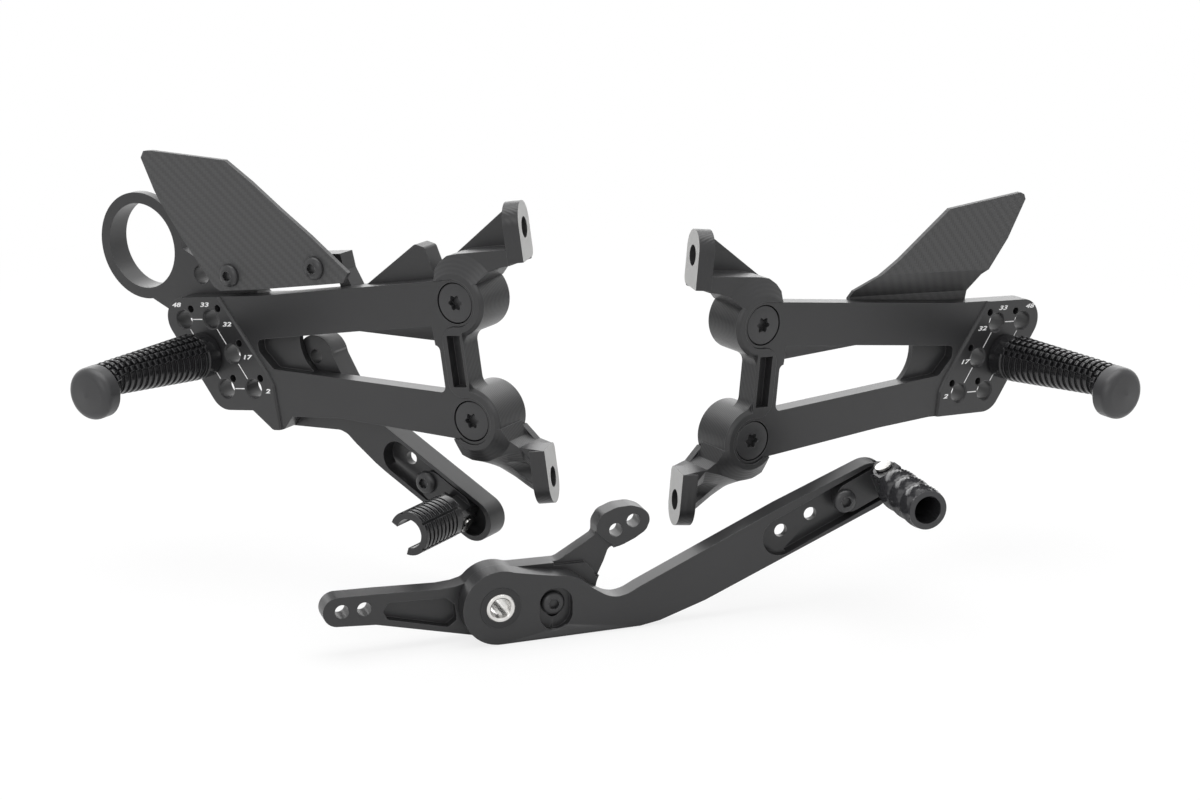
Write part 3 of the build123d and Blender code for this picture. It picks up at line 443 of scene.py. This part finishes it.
def satin_black(
    name, colour, roughness, grain=2600.0, strength=0.12, edge=0.00035, milled=None
):
    """Bead-blasted and anodised metal: near black, fine grain, soft gloss, painted highlights
    on the edges.
    """
    made, nodes, links, shader = new_material(name)
    where = nodes.new("ShaderNodeTexCoord").outputs["Object"]
    speck = speckle(nodes, links, where, grain, 3.0)
    drift = speckle(nodes, links, where, 28.0)
    low = tuple(c * 0.86 for c in colour)
    high = tuple(min(1, c * 1.18) for c in colour)
    tone = shade_between(nodes, links, drift, low, high)
    # Painted highlight: a lighter tone laid on the corners, where the edges catch the light.
    edge_highlight_tone = tuple(min(1, 0.05 + c * 3.0) for c in colour)
    normal, tone = edge_bevel_and_highlight(nodes, links, edge, tone, edge_highlight_tone)
    links.new(tone, shader.inputs["Base Color"])
    gloss = (roughness - 0.05, roughness + 0.05)
    spread = rescale(nodes, links, speck, (0.0, 1.0), gloss)
    links.new(spread.outputs["Result"], shader.inputs["Roughness"])
    bump = fine_bump(nodes, links, speck, shader, strength, GRAIN_BUMP)
    links.new(normal, bump.inputs["Normal"])
    if milled is not None:
        cutter_steps(nodes, links, where, milled, bump, shader)
    shader.inputs["IOR"].default_value = GLOSS_IOR
    return made


def bare_pad(name):
    """Bright milled face of a frame pad, with the cutter's fine lines."""
    made, nodes, links, shader = new_material(name)
    where = nodes.new("ShaderNodeTexCoord")
    lines = nodes.new("ShaderNodeTexWave")
    lines.inputs["Scale"].default_value = 900.0
    lines.inputs["Distortion"].default_value = 1.5
    links.new(where.outputs["Object"], lines.inputs["Vector"])
    shade_between(
        nodes, links, lines.outputs["Fac"], (0.34, 0.34, 0.335), (0.41, 0.41, 0.405),
        shader.inputs["Base Color"],
    )
    fine_bump(nodes, links, lines.outputs["Fac"], shader, 0.15, PAD_BUMP)
    shader.inputs["Metallic"].default_value = 0.3
    shader.inputs["Roughness"].default_value = 0.45
    return made


def bright_steel(name, colour):
    """Bright steel with a faint grain."""
    made, nodes, links, shader = new_material(name)
    where = nodes.new("ShaderNodeTexCoord").outputs["Object"]
    grain = speckle(nodes, links, where, 1500.0)
    low = tuple(c * 0.9 for c in colour)
    shade_between(nodes, links, grain, low, colour, shader.inputs["Base Color"])
    fine_bump(nodes, links, grain, shader, 0.1, STEEL_BUMP)
    shader.inputs["Metallic"].default_value = 1.0
    shader.inputs["Roughness"].default_value = 0.22
    return made


def woven_carbon(name, settings, place):
    """Matt twill of carbon tows, lined up with its guard."""
    made, nodes, links, shader = new_material(name)
    where = nodes.new("ShaderNodeTexCoord").outputs["Object"]
    flat = in_frame(nodes, links, where, place)

    def step(kind, first, second=None):
        return maths(nodes, links, kind, first, second)

    across = step("DIVIDE", flat["X"], settings.tow)
    along = step("DIVIDE", flat["Y"], settings.tow)
    tows = step("ADD", step("FLOOR", across), step("FLOOR", along))
    over = step("LESS_THAN", step("FLOORED_MODULO", tows, 4.0), 1.5)
    crown_x = step("SINE", step("MULTIPLY", step("FRACT", across), math.pi))
    crown_y = step("SINE", step("MULTIPLY", step("FRACT", along), math.pi))
    pick = nodes.new("ShaderNodeMix")
    pick.data_type = "FLOAT"
    links.new(over, pick.inputs["Factor"])
    links.new(crown_x, pick.inputs["A"])
    links.new(crown_y, pick.inputs["B"])
    shade_between(
        nodes, links, over, tuple(settings.dark_colour), tuple(settings.light_colour),
        shader.inputs["Base Color"],
    )
    fine_bump(nodes, links, pick.outputs["Result"], shader, 0.25, TOW_BUMP)
    shader.inputs["Roughness"].default_value = 0.52
    shader.inputs["IOR"].default_value = GLOSS_IOR
    return made


def etched_white(name):
    """Light grey of the etched numbers and lines."""
    made, nodes, links, shader = new_material(name)
    where = nodes.new("ShaderNodeTexCoord").outputs["Object"]
    grain = speckle(nodes, links, where, 3000.0)
    shade_between(
        nodes, links, grain, (0.82, 0.82, 0.82), (0.95, 0.95, 0.95),
        shader.inputs["Base Color"],
    )
    shader.inputs["Roughness"].default_value = 0.6
    return made


def dress(node, material):
    """Give a carried-over node its finish."""
    slots = frame["nodes"][node].data.materials
    slots.clear()
    slots.append(material)


def finish_piece(mesh_data, name, body, material):
    """Make a finished mesh into a piece that rides on its body."""
    piece = bpy.data.objects.new(name, mesh_data)
    bpy.context.scene.collection.objects.link(piece)
    mesh_data.materials.append(material)
    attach(piece, body)
    return piece


def set_section(verts, angles, height, radius, centre=0.0, lobes=None):
    """Move one loop of points to its section of a turned or lobed form."""
    for vert, angle in zip(verts, angles):
        reach = radius * (lobes(angle) if lobes else 1)
        vert.co = (reach * math.cos(angle), centre + reach * math.sin(angle), height)


def stack_loops(work, sections, closed=False, segments=72):
    """Extrude a loop through its sections, each (height, radius, centre, lobes).

    A closed stack joins its last loop to its first, any other one is capped at both ends."""
    verts = bmesh.ops.create_circle(work, cap_ends=False, segments=segments, radius=1)["verts"]
    angles = [math.atan2(vert.co.y, vert.co.x) for vert in verts]
    start = edges = list(dict.fromkeys(edge for vert in verts for edge in vert.link_edges))
    set_section(verts, angles, *sections[0])
    for section in sections[1:]:
        places = {tuple(vert.co): angle for vert, angle in zip(verts, angles)}
        made = bmesh.ops.extrude_edge_only(work, edges=edges)["geom"]
        verts = [item for item in made if isinstance(item, bmesh.types.BMVert)]
        edges = [item for item in made if isinstance(item, bmesh.types.BMEdge)]
        angles = [places[tuple(vert.co)] for vert in verts]
        set_section(verts, angles, *section)
    if closed:
        bmesh.ops.bridge_loops(work, edges=edges + start)
    else:
        bmesh.ops.contextual_create(work, geom=start)
        bmesh.ops.contextual_create(work, geom=edges)


def round_edges(work, edges, radius, segments, clamp):
    """Bevel some edges of a form."""
    bmesh.ops.bevel(
        work, geom=edges, offset=radius, offset_type="OFFSET", affect="EDGES",
        segments=segments, profile=0.5, material=-1, clamp_overlap=clamp,
    )


def to_piece(work, matrix, name, body, material, crease=28.0):
    """Put a form drawn in millimetres in its place and make it a piece."""
    bmesh.ops.remove_doubles(work, verts=work.verts, dist=0.0005)
    bmesh.ops.transform(work, matrix=Matrix.Scale(MM, 4) @ matrix, verts=work.verts)
    bmesh.ops.recalc_face_normals(work, faces=work.faces)
    for face in work.faces:
        face.smooth = True
    data = bpy.data.meshes.new(name)
    work.to_mesh(data)
    work.free()
    data.set_sharp_from_angle(angle=math.radians(crease))
    return finish_piece(data, name, body, material)


def softened_copy(node, body, place, radius, material):
    """Copy of a milled node, its outline corners and rims rounded, in the node's stead."""
    work = bmesh.new()
    work.from_mesh(frame["nodes"][node].data)
    bmesh.ops.transform(work, matrix=Matrix.Scale(1 / MM, 4), verts=work.verts)
    bmesh.ops.remove_doubles(work, verts=work.verts, dist=0.001)
    bmesh.ops.dissolve_limit(
        work, angle_limit=math.radians(0.5), verts=work.verts, edges=work.edges
    )
    deep = place.to_3x3() @ Vector((0, 0, 1))
    corners = []
    for edge in work.edges:
        way = edge.verts[1].co - edge.verts[0].co
        if len(edge.link_faces) != 2 or way.length < SHORTEST_CORNER:
            continue
        through = abs(way.normalized().dot(deep)) >= 0.999
        if through and CORNER_BEND[0] < edge.calc_face_angle(0) < CORNER_BEND[1]:
            corners.append(edge)
    round_edges(work, corners, radius, 5, True)
    rims = [
        edge for edge in work.edges
        if len(edge.link_faces) == 2 and edge.calc_face_angle(0) > RIM_BEND
    ]
    round_edges(work, rims, LEVER_RIM, 2, True)
    piece = to_piece(
        work, Matrix.Identity(4), f"{node}_softened", body, material
    )
    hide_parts(node)
    return piece


class REARSETS_OT_metal(bpy.types.Operator):
    """Finish the brackets, plates, levers and fittings"""

    bl_idname = "rearsets.metal"
    bl_label = "Finish metal parts"

    def execute(self, context):
        values = context.scene.rearsets_anodising
        colour, grip_colour = tuple(values.colour), tuple(values.grip_colour)
        black = satin_black("satin black", colour, values.roughness)
        grip = satin_black("grip black", grip_colour, 0.24, strength=0.05)
        cap = satin_black("cap black", tuple(c * 1.5 for c in colour), 0.4)
        oxide = satin_black(
            "screw black", tuple(c * 1.3 for c in colour), 0.42, grain=1500, strength=0.4
        )
        seal = satin_black("bearing black", grip_colour, 0.5)
        steel = bright_steel("bright steel", tuple(values.steel_colour))
        by_slot = {
            "black_anodised": black,
            "grip_black": grip,
            "cap_black": cap,
            "black_screw": oxide,
            "dark_bearing": seal,
            "bare_steel": steel,
        }
        slot_of = {s["node"]: s["material_slot"] for s in frame["record"]["subparts"]}
        for node in frame["nodes"]:
            if slot_of[node] in by_slot:
                dress(node, by_slot[slot_of[node]])
        for node, body, place, radius in MILLED:
            softened_copy(node, body, place, radius, black)
        pad = bare_pad("bare pad")
        for side, place, hand in SIDES:
            milled = satin_black(
                f"{side} milled black", colour, values.roughness, milled=place
            )
            dress(f"{side}_frame_bracket", milled)
            self.bare_pads(f"{side}_frame_bracket", place, hand, pad)
        return {"FINISHED"}

    def bare_pads(self, node, place, hand, pad):
        """Leave the machined faces of the two frame pads bare."""
        data = frame["nodes"][node].data
        data.materials.append(pad)
        turn = math.radians(PAD_TURN)
        axis = place.to_3x3() @ Vector((math.cos(turn) * hand, 0, -math.sin(turn)))
        centres = [
            MM * (place @ Vector((at.x * hand, at.y, at.z))) for at in (PAD_TOP, PAD_LOW)
        ]
        for face in data.polygons:
            if face.normal.dot(axis) < 0.995:
                continue
            if min(abs((face.center - at).dot(axis)) for at in centres) < 0.1 * MM:
                face.material_index = len(data.materials) - 1


class REARSETS_OT_guards(bpy.types.Operator):
    """Finish the heel guards with their weave"""

    bl_idname = "rearsets.guards"
    bl_label = "Finish heel guards"

    def execute(self, context):
        values = context.scene.rearsets_carbon
        for side, place, _ in SIDES:
            dress(f"{side}_heel_guard", woven_carbon(f"{side} carbon", values, place))
        return {"FINISHED"}


def six_lobes(angle):
    """Share of the radius round a six-lobed recess."""
    return 0.88 + 0.15 * math.cos(6 * angle)


def screw_sections(head, tall, shank, length, key, dome):
    """Sections of one screw, from the bottom of its recess over the head to its end."""
    if dome:
        top, under = tall, 0.0
        turns = [math.radians(15 * k) for k in range(7)]
        outer = [
            (
                tall * (DOME_FOOT + (1 - DOME_FOOT) * math.cos(t)),
                head * (DOME_FLAT + (1 - DOME_FLAT) * math.sin(t)),
            )
            for t in turns
        ]
    else:
        top, under = 0.0, -tall
        turns = [math.radians(22.5 * k) for k in range(5)]
        outer = [
            (
                -HEAD_EDGE_R + HEAD_EDGE_R * math.cos(t),
                head - HEAD_EDGE_R + HEAD_EDGE_R * math.sin(t),
            )
            for t in turns
        ]
    return [
        (top - tall * RECESS_DEPTH, key, 0, six_lobes),
        (top - RECESS_LEAD_H, key, 0, six_lobes),
        (top, key + RECESS_LEAD_R, 0, six_lobes),
        *outer,
        (under, head),
        (under, shank),
        (-length + SCREW_POINT, shank),
        (-length, shank - SCREW_POINT),
    ]


class REARSETS_OT_screws(bpy.types.Operator):
    """Make the screws with their six-lobed recesses"""

    bl_idname = "rearsets.screws"
    bl_label = "Make screws"

    def execute(self, context):
        values = context.scene.rearsets_anodising
        oxide = satin_black(
            "lobed screw black", tuple(c * 1.3 for c in values.colour), 0.34, grain=1500,
            strength=0.3, edge=0.00015,
        )
        for node, body, place, seat, way, sizes in SCREWS:
            work = bmesh.new()
            stack_loops(work, screw_sections(*sizes))
            turned = Matrix.Rotation(0 if way > 0 else math.pi, 4, "X")
            matrix = place @ Matrix.Translation(seat) @ turned
            piece = to_piece(work, matrix, f"{node}_lobed", body, oxide)
            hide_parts(node)
        return {"FINISHED"}


def sleeve_at(height):
    """Radius and rise of the sleeve's core at a height along the footpeg."""
    share = (min(height, FLARE_START) - SLEEVE_START) / (FLARE_START - SLEEVE_START)
    radius = SLEEVE_BASE_R + (SLEEVE_TIP_R - SLEEVE_BASE_R) * share
    rise = SLEEVE_RISE * share
    if height > FLARE_START:
        flare = (height - FLARE_START) / (SLEEVE_STOP - FLARE_START)
        radius += (FLARE_R - RING_H - radius) * flare
        rise *= 1 - flare
    return radius, rise


def cap_clear(radius, rise, angle):
    """Height that a stud may have before it stands past the cap's rim."""
    side, up = radius * math.sin(angle), rise + radius * math.cos(angle)
    room = CAP_R - 0.1 - math.hypot(side, up)
    return max(STUD_LOWEST, room)


class REARSETS_OT_grips(bpy.types.Operator):
    """Make the ringed and studded footpeg sleeves and the diamond-cut shift toe peg"""

    bl_idname = "rearsets.grips"
    bl_label = "Make grips"

    def execute(self, context):
        values = context.scene.rearsets_grips
        colour = tuple(context.scene.rearsets_anodising.grip_colour)
        grip = satin_black("studded grip black", colour, 0.22, strength=0.05, edge=0.0002)
        for side, place, _ in SIDES:
            work = self.sleeve(values.ring_pitch / MM, values.stud_height / MM)
            piece = to_piece(
                work, place, f"{side}_studded_sleeve", FIXED, grip
            )
            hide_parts(f"{side}_peg_sleeve")
        cut = satin_black(
            "diamond cut black", tuple(c * 2.2 for c in colour), 0.16, strength=0.03,
            edge=0.0001,
        )
        self.add_toe_peg(values.knurl_depth / MM, cut)
        return {"FINISHED"}

    def sleeve(self, pitch, stud_height):
        """One sleeve: a tapered core with rings, and rows of studs on its upper side."""
        work = bmesh.new()
        count = int((SLEEVE_STOP - SLEEVE_START - RING_T) // pitch) + 1
        rings = [SLEEVE_START + RING_FIRST + k * pitch for k in range(count)]
        radius, rise = sleeve_at(SLEEVE_START)
        sections = [(SLEEVE_START, SLEEVE_BORE_R, rise), (SLEEVE_START, radius, rise)]
        for low in rings:
            for step, lift in RING_PROFILE:
                radius, rise = sleeve_at(low + step)
                sections.append((low + step, radius + lift, rise))
        radius, rise = sleeve_at(SLEEVE_STOP)
        sections += [(SLEEVE_STOP, radius, rise), (SLEEVE_STOP, SLEEVE_BORE_R, rise)]
        stack_loops(work, sections)
        for low in rings:
            middle = low + RING_T / 2
            radius, rise = sleeve_at(middle)
            for stud in range(STUDS_PER_RING):
                angle = math.radians(STUD_STEP * (stud - (STUDS_PER_RING - 1) / 2))
                tall = min(stud_height, cap_clear(radius + RING_H, rise, angle))
                self.add_stud(work, middle, radius + RING_H, rise, angle, tall)
        return work

    def add_stud(self, work, height, radius, rise, angle, tall):
        """One square stud on a ring, its top edges bevelled."""
        verts = bmesh.ops.create_cube(work, size=1)["verts"]
        deep = tall + STUD_FOOT
        shape = (
            Matrix.Translation((0, rise, height))
            @ Matrix.Rotation(-angle, 4, "Z")
            @ Matrix.Translation((0, radius - STUD_FOOT + deep / 2, 0))
            @ Matrix.Diagonal((STUD_W, deep, RING_T, 1))
        )
        bmesh.ops.transform(work, matrix=shape, verts=verts)
        outward = Matrix.Rotation(-angle, 3, "Z") @ Vector((0, 1, 0))
        base = Vector((0, rise, height))
        top = [v for v in verts if (v.co - base).dot(outward) > radius]
        rim = dict.fromkeys(e for v in top for e in v.link_edges if e.other_vert(v) in top)
        round_edges(work, list(rim), STUD_EDGE, 2, False)

    def add_toe_peg(self, depth, finish):
        """Shift toe peg: tube with diamond-cut swells, and two ears on the pin."""
        work = bmesh.new()
        stack_loops(work, self.toe_tube_sections(depth), segments=TOE_AROUND)
        for way in (1, -1):
            self.add_toe_ear(work, way)
        matrix = SHIFT @ Matrix.Translation((*TOE_PIN, 0)) @ Matrix.Rotation(
            math.radians(TOE_TURN), 4, "Z"
        )
        piece = to_piece(
            work, matrix, "shift_toe_peg_cut", SHIFT_TOE, finish, 12.0
        )
        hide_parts("shift_toe_peg")

    def toe_tube_sections(self, depth):
        """Sections of the tube: its foot, the diamond rows and the open mouth."""

        def diamonds(row, share):
            """Raise every second point, the other ones in the next row."""
            def reach(angle):
                point = round(angle / (2 * math.pi / TOE_AROUND))
                return 1 + share * depth / TOE_TUBE_R * (1 if (point + row) % 2 else -1)
            return reach

        low, high = TOE_TUBE
        sections = [(low, TOE_TUBE_R - 1.0), (low, TOE_TUBE_R - 0.5)]
        for row in range(1, TOE_ROWS):
            swell = abs(math.sin(math.pi * TOE_SWELLS * row / TOE_ROWS)) ** 0.5
            radius = TOE_TUBE_R - TOE_WAIST + TOE_WAIST * swell
            height = low + (high - low) * row / TOE_ROWS
            sections.append((height, radius, 0, diamonds(row, swell)))
        return sections + [
            (high - 0.5, TOE_TUBE_R - 0.3), (high - 0.15, TOE_TUBE_R - 0.35),
            (high, TOE_TUBE_R - 0.6), (high, TOE_BORE_R + 0.3), (high - 0.3, TOE_BORE_R),
            (TOE_BORE_END, TOE_BORE_R),
        ]

    def add_toe_ear(self, work, way):
        """One ear: a ring round the pin, and the web that joins it to the tube."""
        near, far = TOE_EAR
        rim = TOE_EAR_R - TOE_EAR_EDGE
        ring = [
            (near, TOE_PIN_BORE_R), (near, rim), (near + TOE_EAR_EDGE, TOE_EAR_R),
            (far - TOE_EAR_EDGE, TOE_EAR_R), (far, rim), (far, TOE_PIN_BORE_R),
        ]
        old = set(work.verts)
        stack_loops(work, ring, closed=True, segments=36)
        lug = [vert for vert in work.verts if vert not in old]
        turn = Matrix.Translation((0, 0, TOE_PIN_H)) @ Matrix.Rotation(
            -way * math.pi / 2, 4, "X"
        )
        bmesh.ops.transform(work, matrix=turn, verts=lug)
        side = sorted((way * near, way * far))
        above = TOE_PIN_H + TOE_PIN_GAP
        top = TOE_PIN_H + TOE_EAR_R + TOE_EAR_LAP
        for left, right, foot, head in (
            (-TOE_EAR_R, -TOE_PIN_GAP, TOE_PIN_H, above),
            (TOE_PIN_GAP, TOE_EAR_R, TOE_PIN_H, above),
            (-TOE_EAR_R, TOE_EAR_R, above, top),
        ):
            size = (right - left, side[1] - side[0], head - foot, 1)
            middle = ((left + right) / 2, (side[0] + side[1]) / 2, (foot + head) / 2)
            shape = Matrix.Translation(middle) @ Matrix.Diagonal(size)
            bmesh.ops.create_cube(work, size=1, matrix=shape)


class REARSETS_OT_marks(bpy.types.Operator):
    """Add the numbers and fine lines beside the adjustment holes"""

    bl_idname = "rearsets.marks"
    bl_label = "Add hole marks"

    def execute(self, context):
        values = context.scene.rearsets_marks
        white = etched_white("etched white")
        for side, place, hand in SIDES:
            work = bmesh.new()
            for first, second in LINKS:
                self.add_line(work, HOLES[first], HOLES[second], hand, values.line_width / MM)
            for digits, u, v in MARKS:
                self.add_number(work, digits, (u * hand, v), values.digit_height / MM, side)
            work.normal_update()
            turned = [f for f in work.faces if f.normal.z < 0]
            bmesh.ops.reverse_faces(work, faces=turned)
            bmesh.ops.transform(work, matrix=Matrix.Scale(MM, 4) @ place, verts=work.verts)
            data = bpy.data.meshes.new(f"{side}_hole_marks")
            work.to_mesh(data)
            work.free()
            finish_piece(data, f"{side}_hole_marks", FIXED, white)
        return {"FINISHED"}

    def add_line(self, work, first, second, hand, width):
        """Fine line between two holes, stopping short of both."""
        a, b = Vector(first), Vector(second)
        way = (b - a).normalized()
        a, b = a + way * HOLE_MARGIN, b - way * HOLE_MARGIN
        middle, length = (a + b) / 2, (b - a).length
        shape = (
            Matrix.Translation((middle.x * hand, middle.y, MARK_LIFT))
            @ Matrix.Rotation(math.atan2(way.y, way.x * hand), 4, "Z")
            @ Matrix.Diagonal((length, width, 1, 1))
        )
        bmesh.ops.create_grid(work, x_segments=1, y_segments=1, size=0.5, matrix=shape)

    def add_number(self, work, digits, at, height, side):
        """One slanted and widened hole number, added as flat faces."""
        text = bpy.data.curves.new(f"{side} {digits}", "FONT")
        text.body = digits
        text.size = height * DIGIT_SIZE
        text.align_x = "CENTER"
        text.align_y = "CENTER"
        text.resolution_u = 4
        text.shear = DIGIT_SLANT
        text.offset = DIGIT_BOLD * text.size
        holder = bpy.data.objects.new(text.name, text)
        flat = bpy.data.meshes.new_from_object(holder)
        shape = Matrix.Translation((*at, MARK_LIFT)) @ Matrix.Diagonal(
            (DIGIT_STRETCH, 1, 1, 1)
        )
        flat.transform(shape)
        work.from_mesh(flat)
        bpy.data.objects.remove(holder)
        bpy.data.curves.remove(text)
        bpy.data.meshes.remove(flat)


class REARSETS_OT_studio(bpy.types.Operator):
    """Set up the camera, the floor, the world and the lights"""

    bl_idname = "rearsets.studio"
    bl_label = "Set up studio"

    def execute(self, context):
        values, scene = context.scene.rearsets_studio, context.scene
        scene.view_settings.view_transform = "Standard"
        self.add_camera(scene, values)
        self.add_floor(scene)
        self.light_world(scene)
        self.add_panel("top panel", (0.0, 0.15, 0.95), (1.4, 1.0), values.top_power)
        rear = self.add_panel("rear panel", (0.0, 1.3, 0.4), (2.4, 0.9), values.rear_power)
        rear.visible_camera = False
        self.add_panel("front panel", (-0.5, -1.5, 0.7), (1.0, 0.8), values.front_power)
        return {"FINISHED"}

    def add_camera(self, scene, values):
        """Camera at the photograph's place, looking down on the set."""
        eye = bpy.data.cameras.new("photo camera")
        eye.lens = values.lens
        eye.sensor_width = 36
        eye.sensor_fit = "HORIZONTAL"
        eye.clip_start = 0.01
        camera = bpy.data.objects.new("photo camera", eye)
        camera.location = CAMERA_PLACE
        camera.rotation_euler = Euler((math.pi / 2 - values.pitch, 0, 0))
        scene.collection.objects.link(camera)
        scene.camera = camera

    def add_floor(self, scene):
        """White floor that keeps the soft shadow and fades into the background."""
        work = bmesh.new()
        bmesh.ops.create_grid(work, x_segments=1, y_segments=1, size=FLOOR_HALF)
        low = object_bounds()[0]
        bmesh.ops.translate(work, vec=(0, 0, low.z - FLOOR_GAP), verts=work.verts)
        data = bpy.data.meshes.new("floor")
        work.to_mesh(data)
        work.free()
        floor = bpy.data.objects.new("floor", data)
        scene.collection.objects.link(floor)
        floor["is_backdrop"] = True
        paper, nodes, links, shader = new_material("floor white")
        shader.inputs["Base Color"].default_value = FLOOR_WHITE
        shader.inputs["Roughness"].default_value = 0.9
        glow = nodes.new("ShaderNodeEmission")
        ray = nodes.new("ShaderNodeLightPath")
        spot = nodes.new("ShaderNodeTexCoord")
        reach = nodes.new("ShaderNodeVectorMath")
        reach.operation = "LENGTH"
        links.new(spot.outputs["Object"], reach.inputs[0])
        fade = rescale(nodes, links, reach.outputs["Value"], GLOW_REACH, GLOW_SHARE)
        fade.interpolation_type = "SMOOTHSTEP"
        seen, share = ray.outputs["Is Camera Ray"], fade.outputs["Result"]
        mix = nodes.new("ShaderNodeMixShader")
        links.new(maths(nodes, links, "MULTIPLY", seen, share), mix.inputs["Fac"])
        links.new(shader.outputs["BSDF"], mix.inputs[1])
        links.new(glow.outputs["Emission"], mix.inputs[2])
        out = next(n for n in nodes if n.type == "OUTPUT_MATERIAL")
        links.new(mix.outputs["Shader"], out.inputs["Surface"])
        data.materials.append(paper)

    def light_world(self, scene):
        """White world to the camera and in reflections, softer as light on the parts."""
        world = bpy.data.worlds.new("studio")
        world.use_nodes = True
        scene.world = world
        nodes, links = world.node_tree.nodes, world.node_tree.links
        back = next(n for n in nodes if n.type == "BACKGROUND")
        back.inputs["Color"].default_value = (1, 1, 1, 1)
        ray = nodes.new("ShaderNodeLightPath").outputs
        seen = maths(nodes, links, "MAXIMUM", ray["Is Camera Ray"], ray["Is Glossy Ray"])
        seen = maths(nodes, links, "MAXIMUM", seen, ray["Is Transmission Ray"])
        level = rescale(nodes, links, seen, (0.0, 1.0), WORLD_LEVEL)
        links.new(level.outputs["Result"], back.inputs["Strength"])

    def add_panel(self, name, where, size, power):
        """Soft rectangular light pointed at the set."""
        data = bpy.data.lights.new(name, "AREA")
        data.shape = "RECTANGLE"
        data.size, data.size_y = size
        data.energy = power
        lamp = bpy.data.objects.new(name, data)
        lamp.location = where
        away = Vector(AIM) - Vector(where)
        lamp.rotation_euler = away.to_track_quat("-Z", "Y").to_euler()
        bpy.context.scene.collection.objects.link(lamp)
        return lamp


class REARSETS_PT_panel(bpy.types.Panel):
    """Dressing of the rear sets"""

    bl_idname = "REARSETS_PT_panel"
    bl_label = "Rear sets"
    bl_space_type = "VIEW_3D"
    bl_region_type = "UI"
    bl_category = "Rear sets"

    def draw(self, context):
        for operator in OPERATORS:
            self.layout.operator(operator.bl_idname)


SETTINGS = (
    ("rearsets_anodising", AnodisingSettings),
    ("rearsets_carbon", CarbonSettings),
    ("rearsets_grips", GripSettings),
    ("rearsets_marks", MarkSettings),
    ("rearsets_studio", StudioSettings),
)
OPERATORS = (
    REARSETS_OT_metal,
    REARSETS_OT_guards,
    REARSETS_OT_screws,
    REARSETS_OT_grips,
    REARSETS_OT_marks,
    REARSETS_OT_studio,
)


def register():
    for name, group in SETTINGS:
        bpy.utils.register_class(group)
        setattr(bpy.types.Scene, name, bpy.props.PointerProperty(type=group))
    for operator in OPERATORS:
        bpy.utils.register_class(operator)
    bpy.utils.register_class(REARSETS_PT_panel)


def unregister():
    bpy.utils.unregister_class(REARSETS_PT_panel)
    for operator in reversed(OPERATORS):
        bpy.utils.unregister_class(operator)
    for name, group in reversed(SETTINGS):
        delattr(bpy.types.Scene, name)
        bpy.utils.unregister_class(group)


def main():
    """Dress the frame."""
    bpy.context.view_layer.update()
    register()
    bpy.ops.rearsets.metal()
    bpy.ops.rearsets.guards()
    bpy.ops.rearsets.screws()
    bpy.ops.rearsets.grips()
    bpy.ops.rearsets.marks()
    bpy.ops.rearsets.studio()


if __name__ == "__main__":
    main()
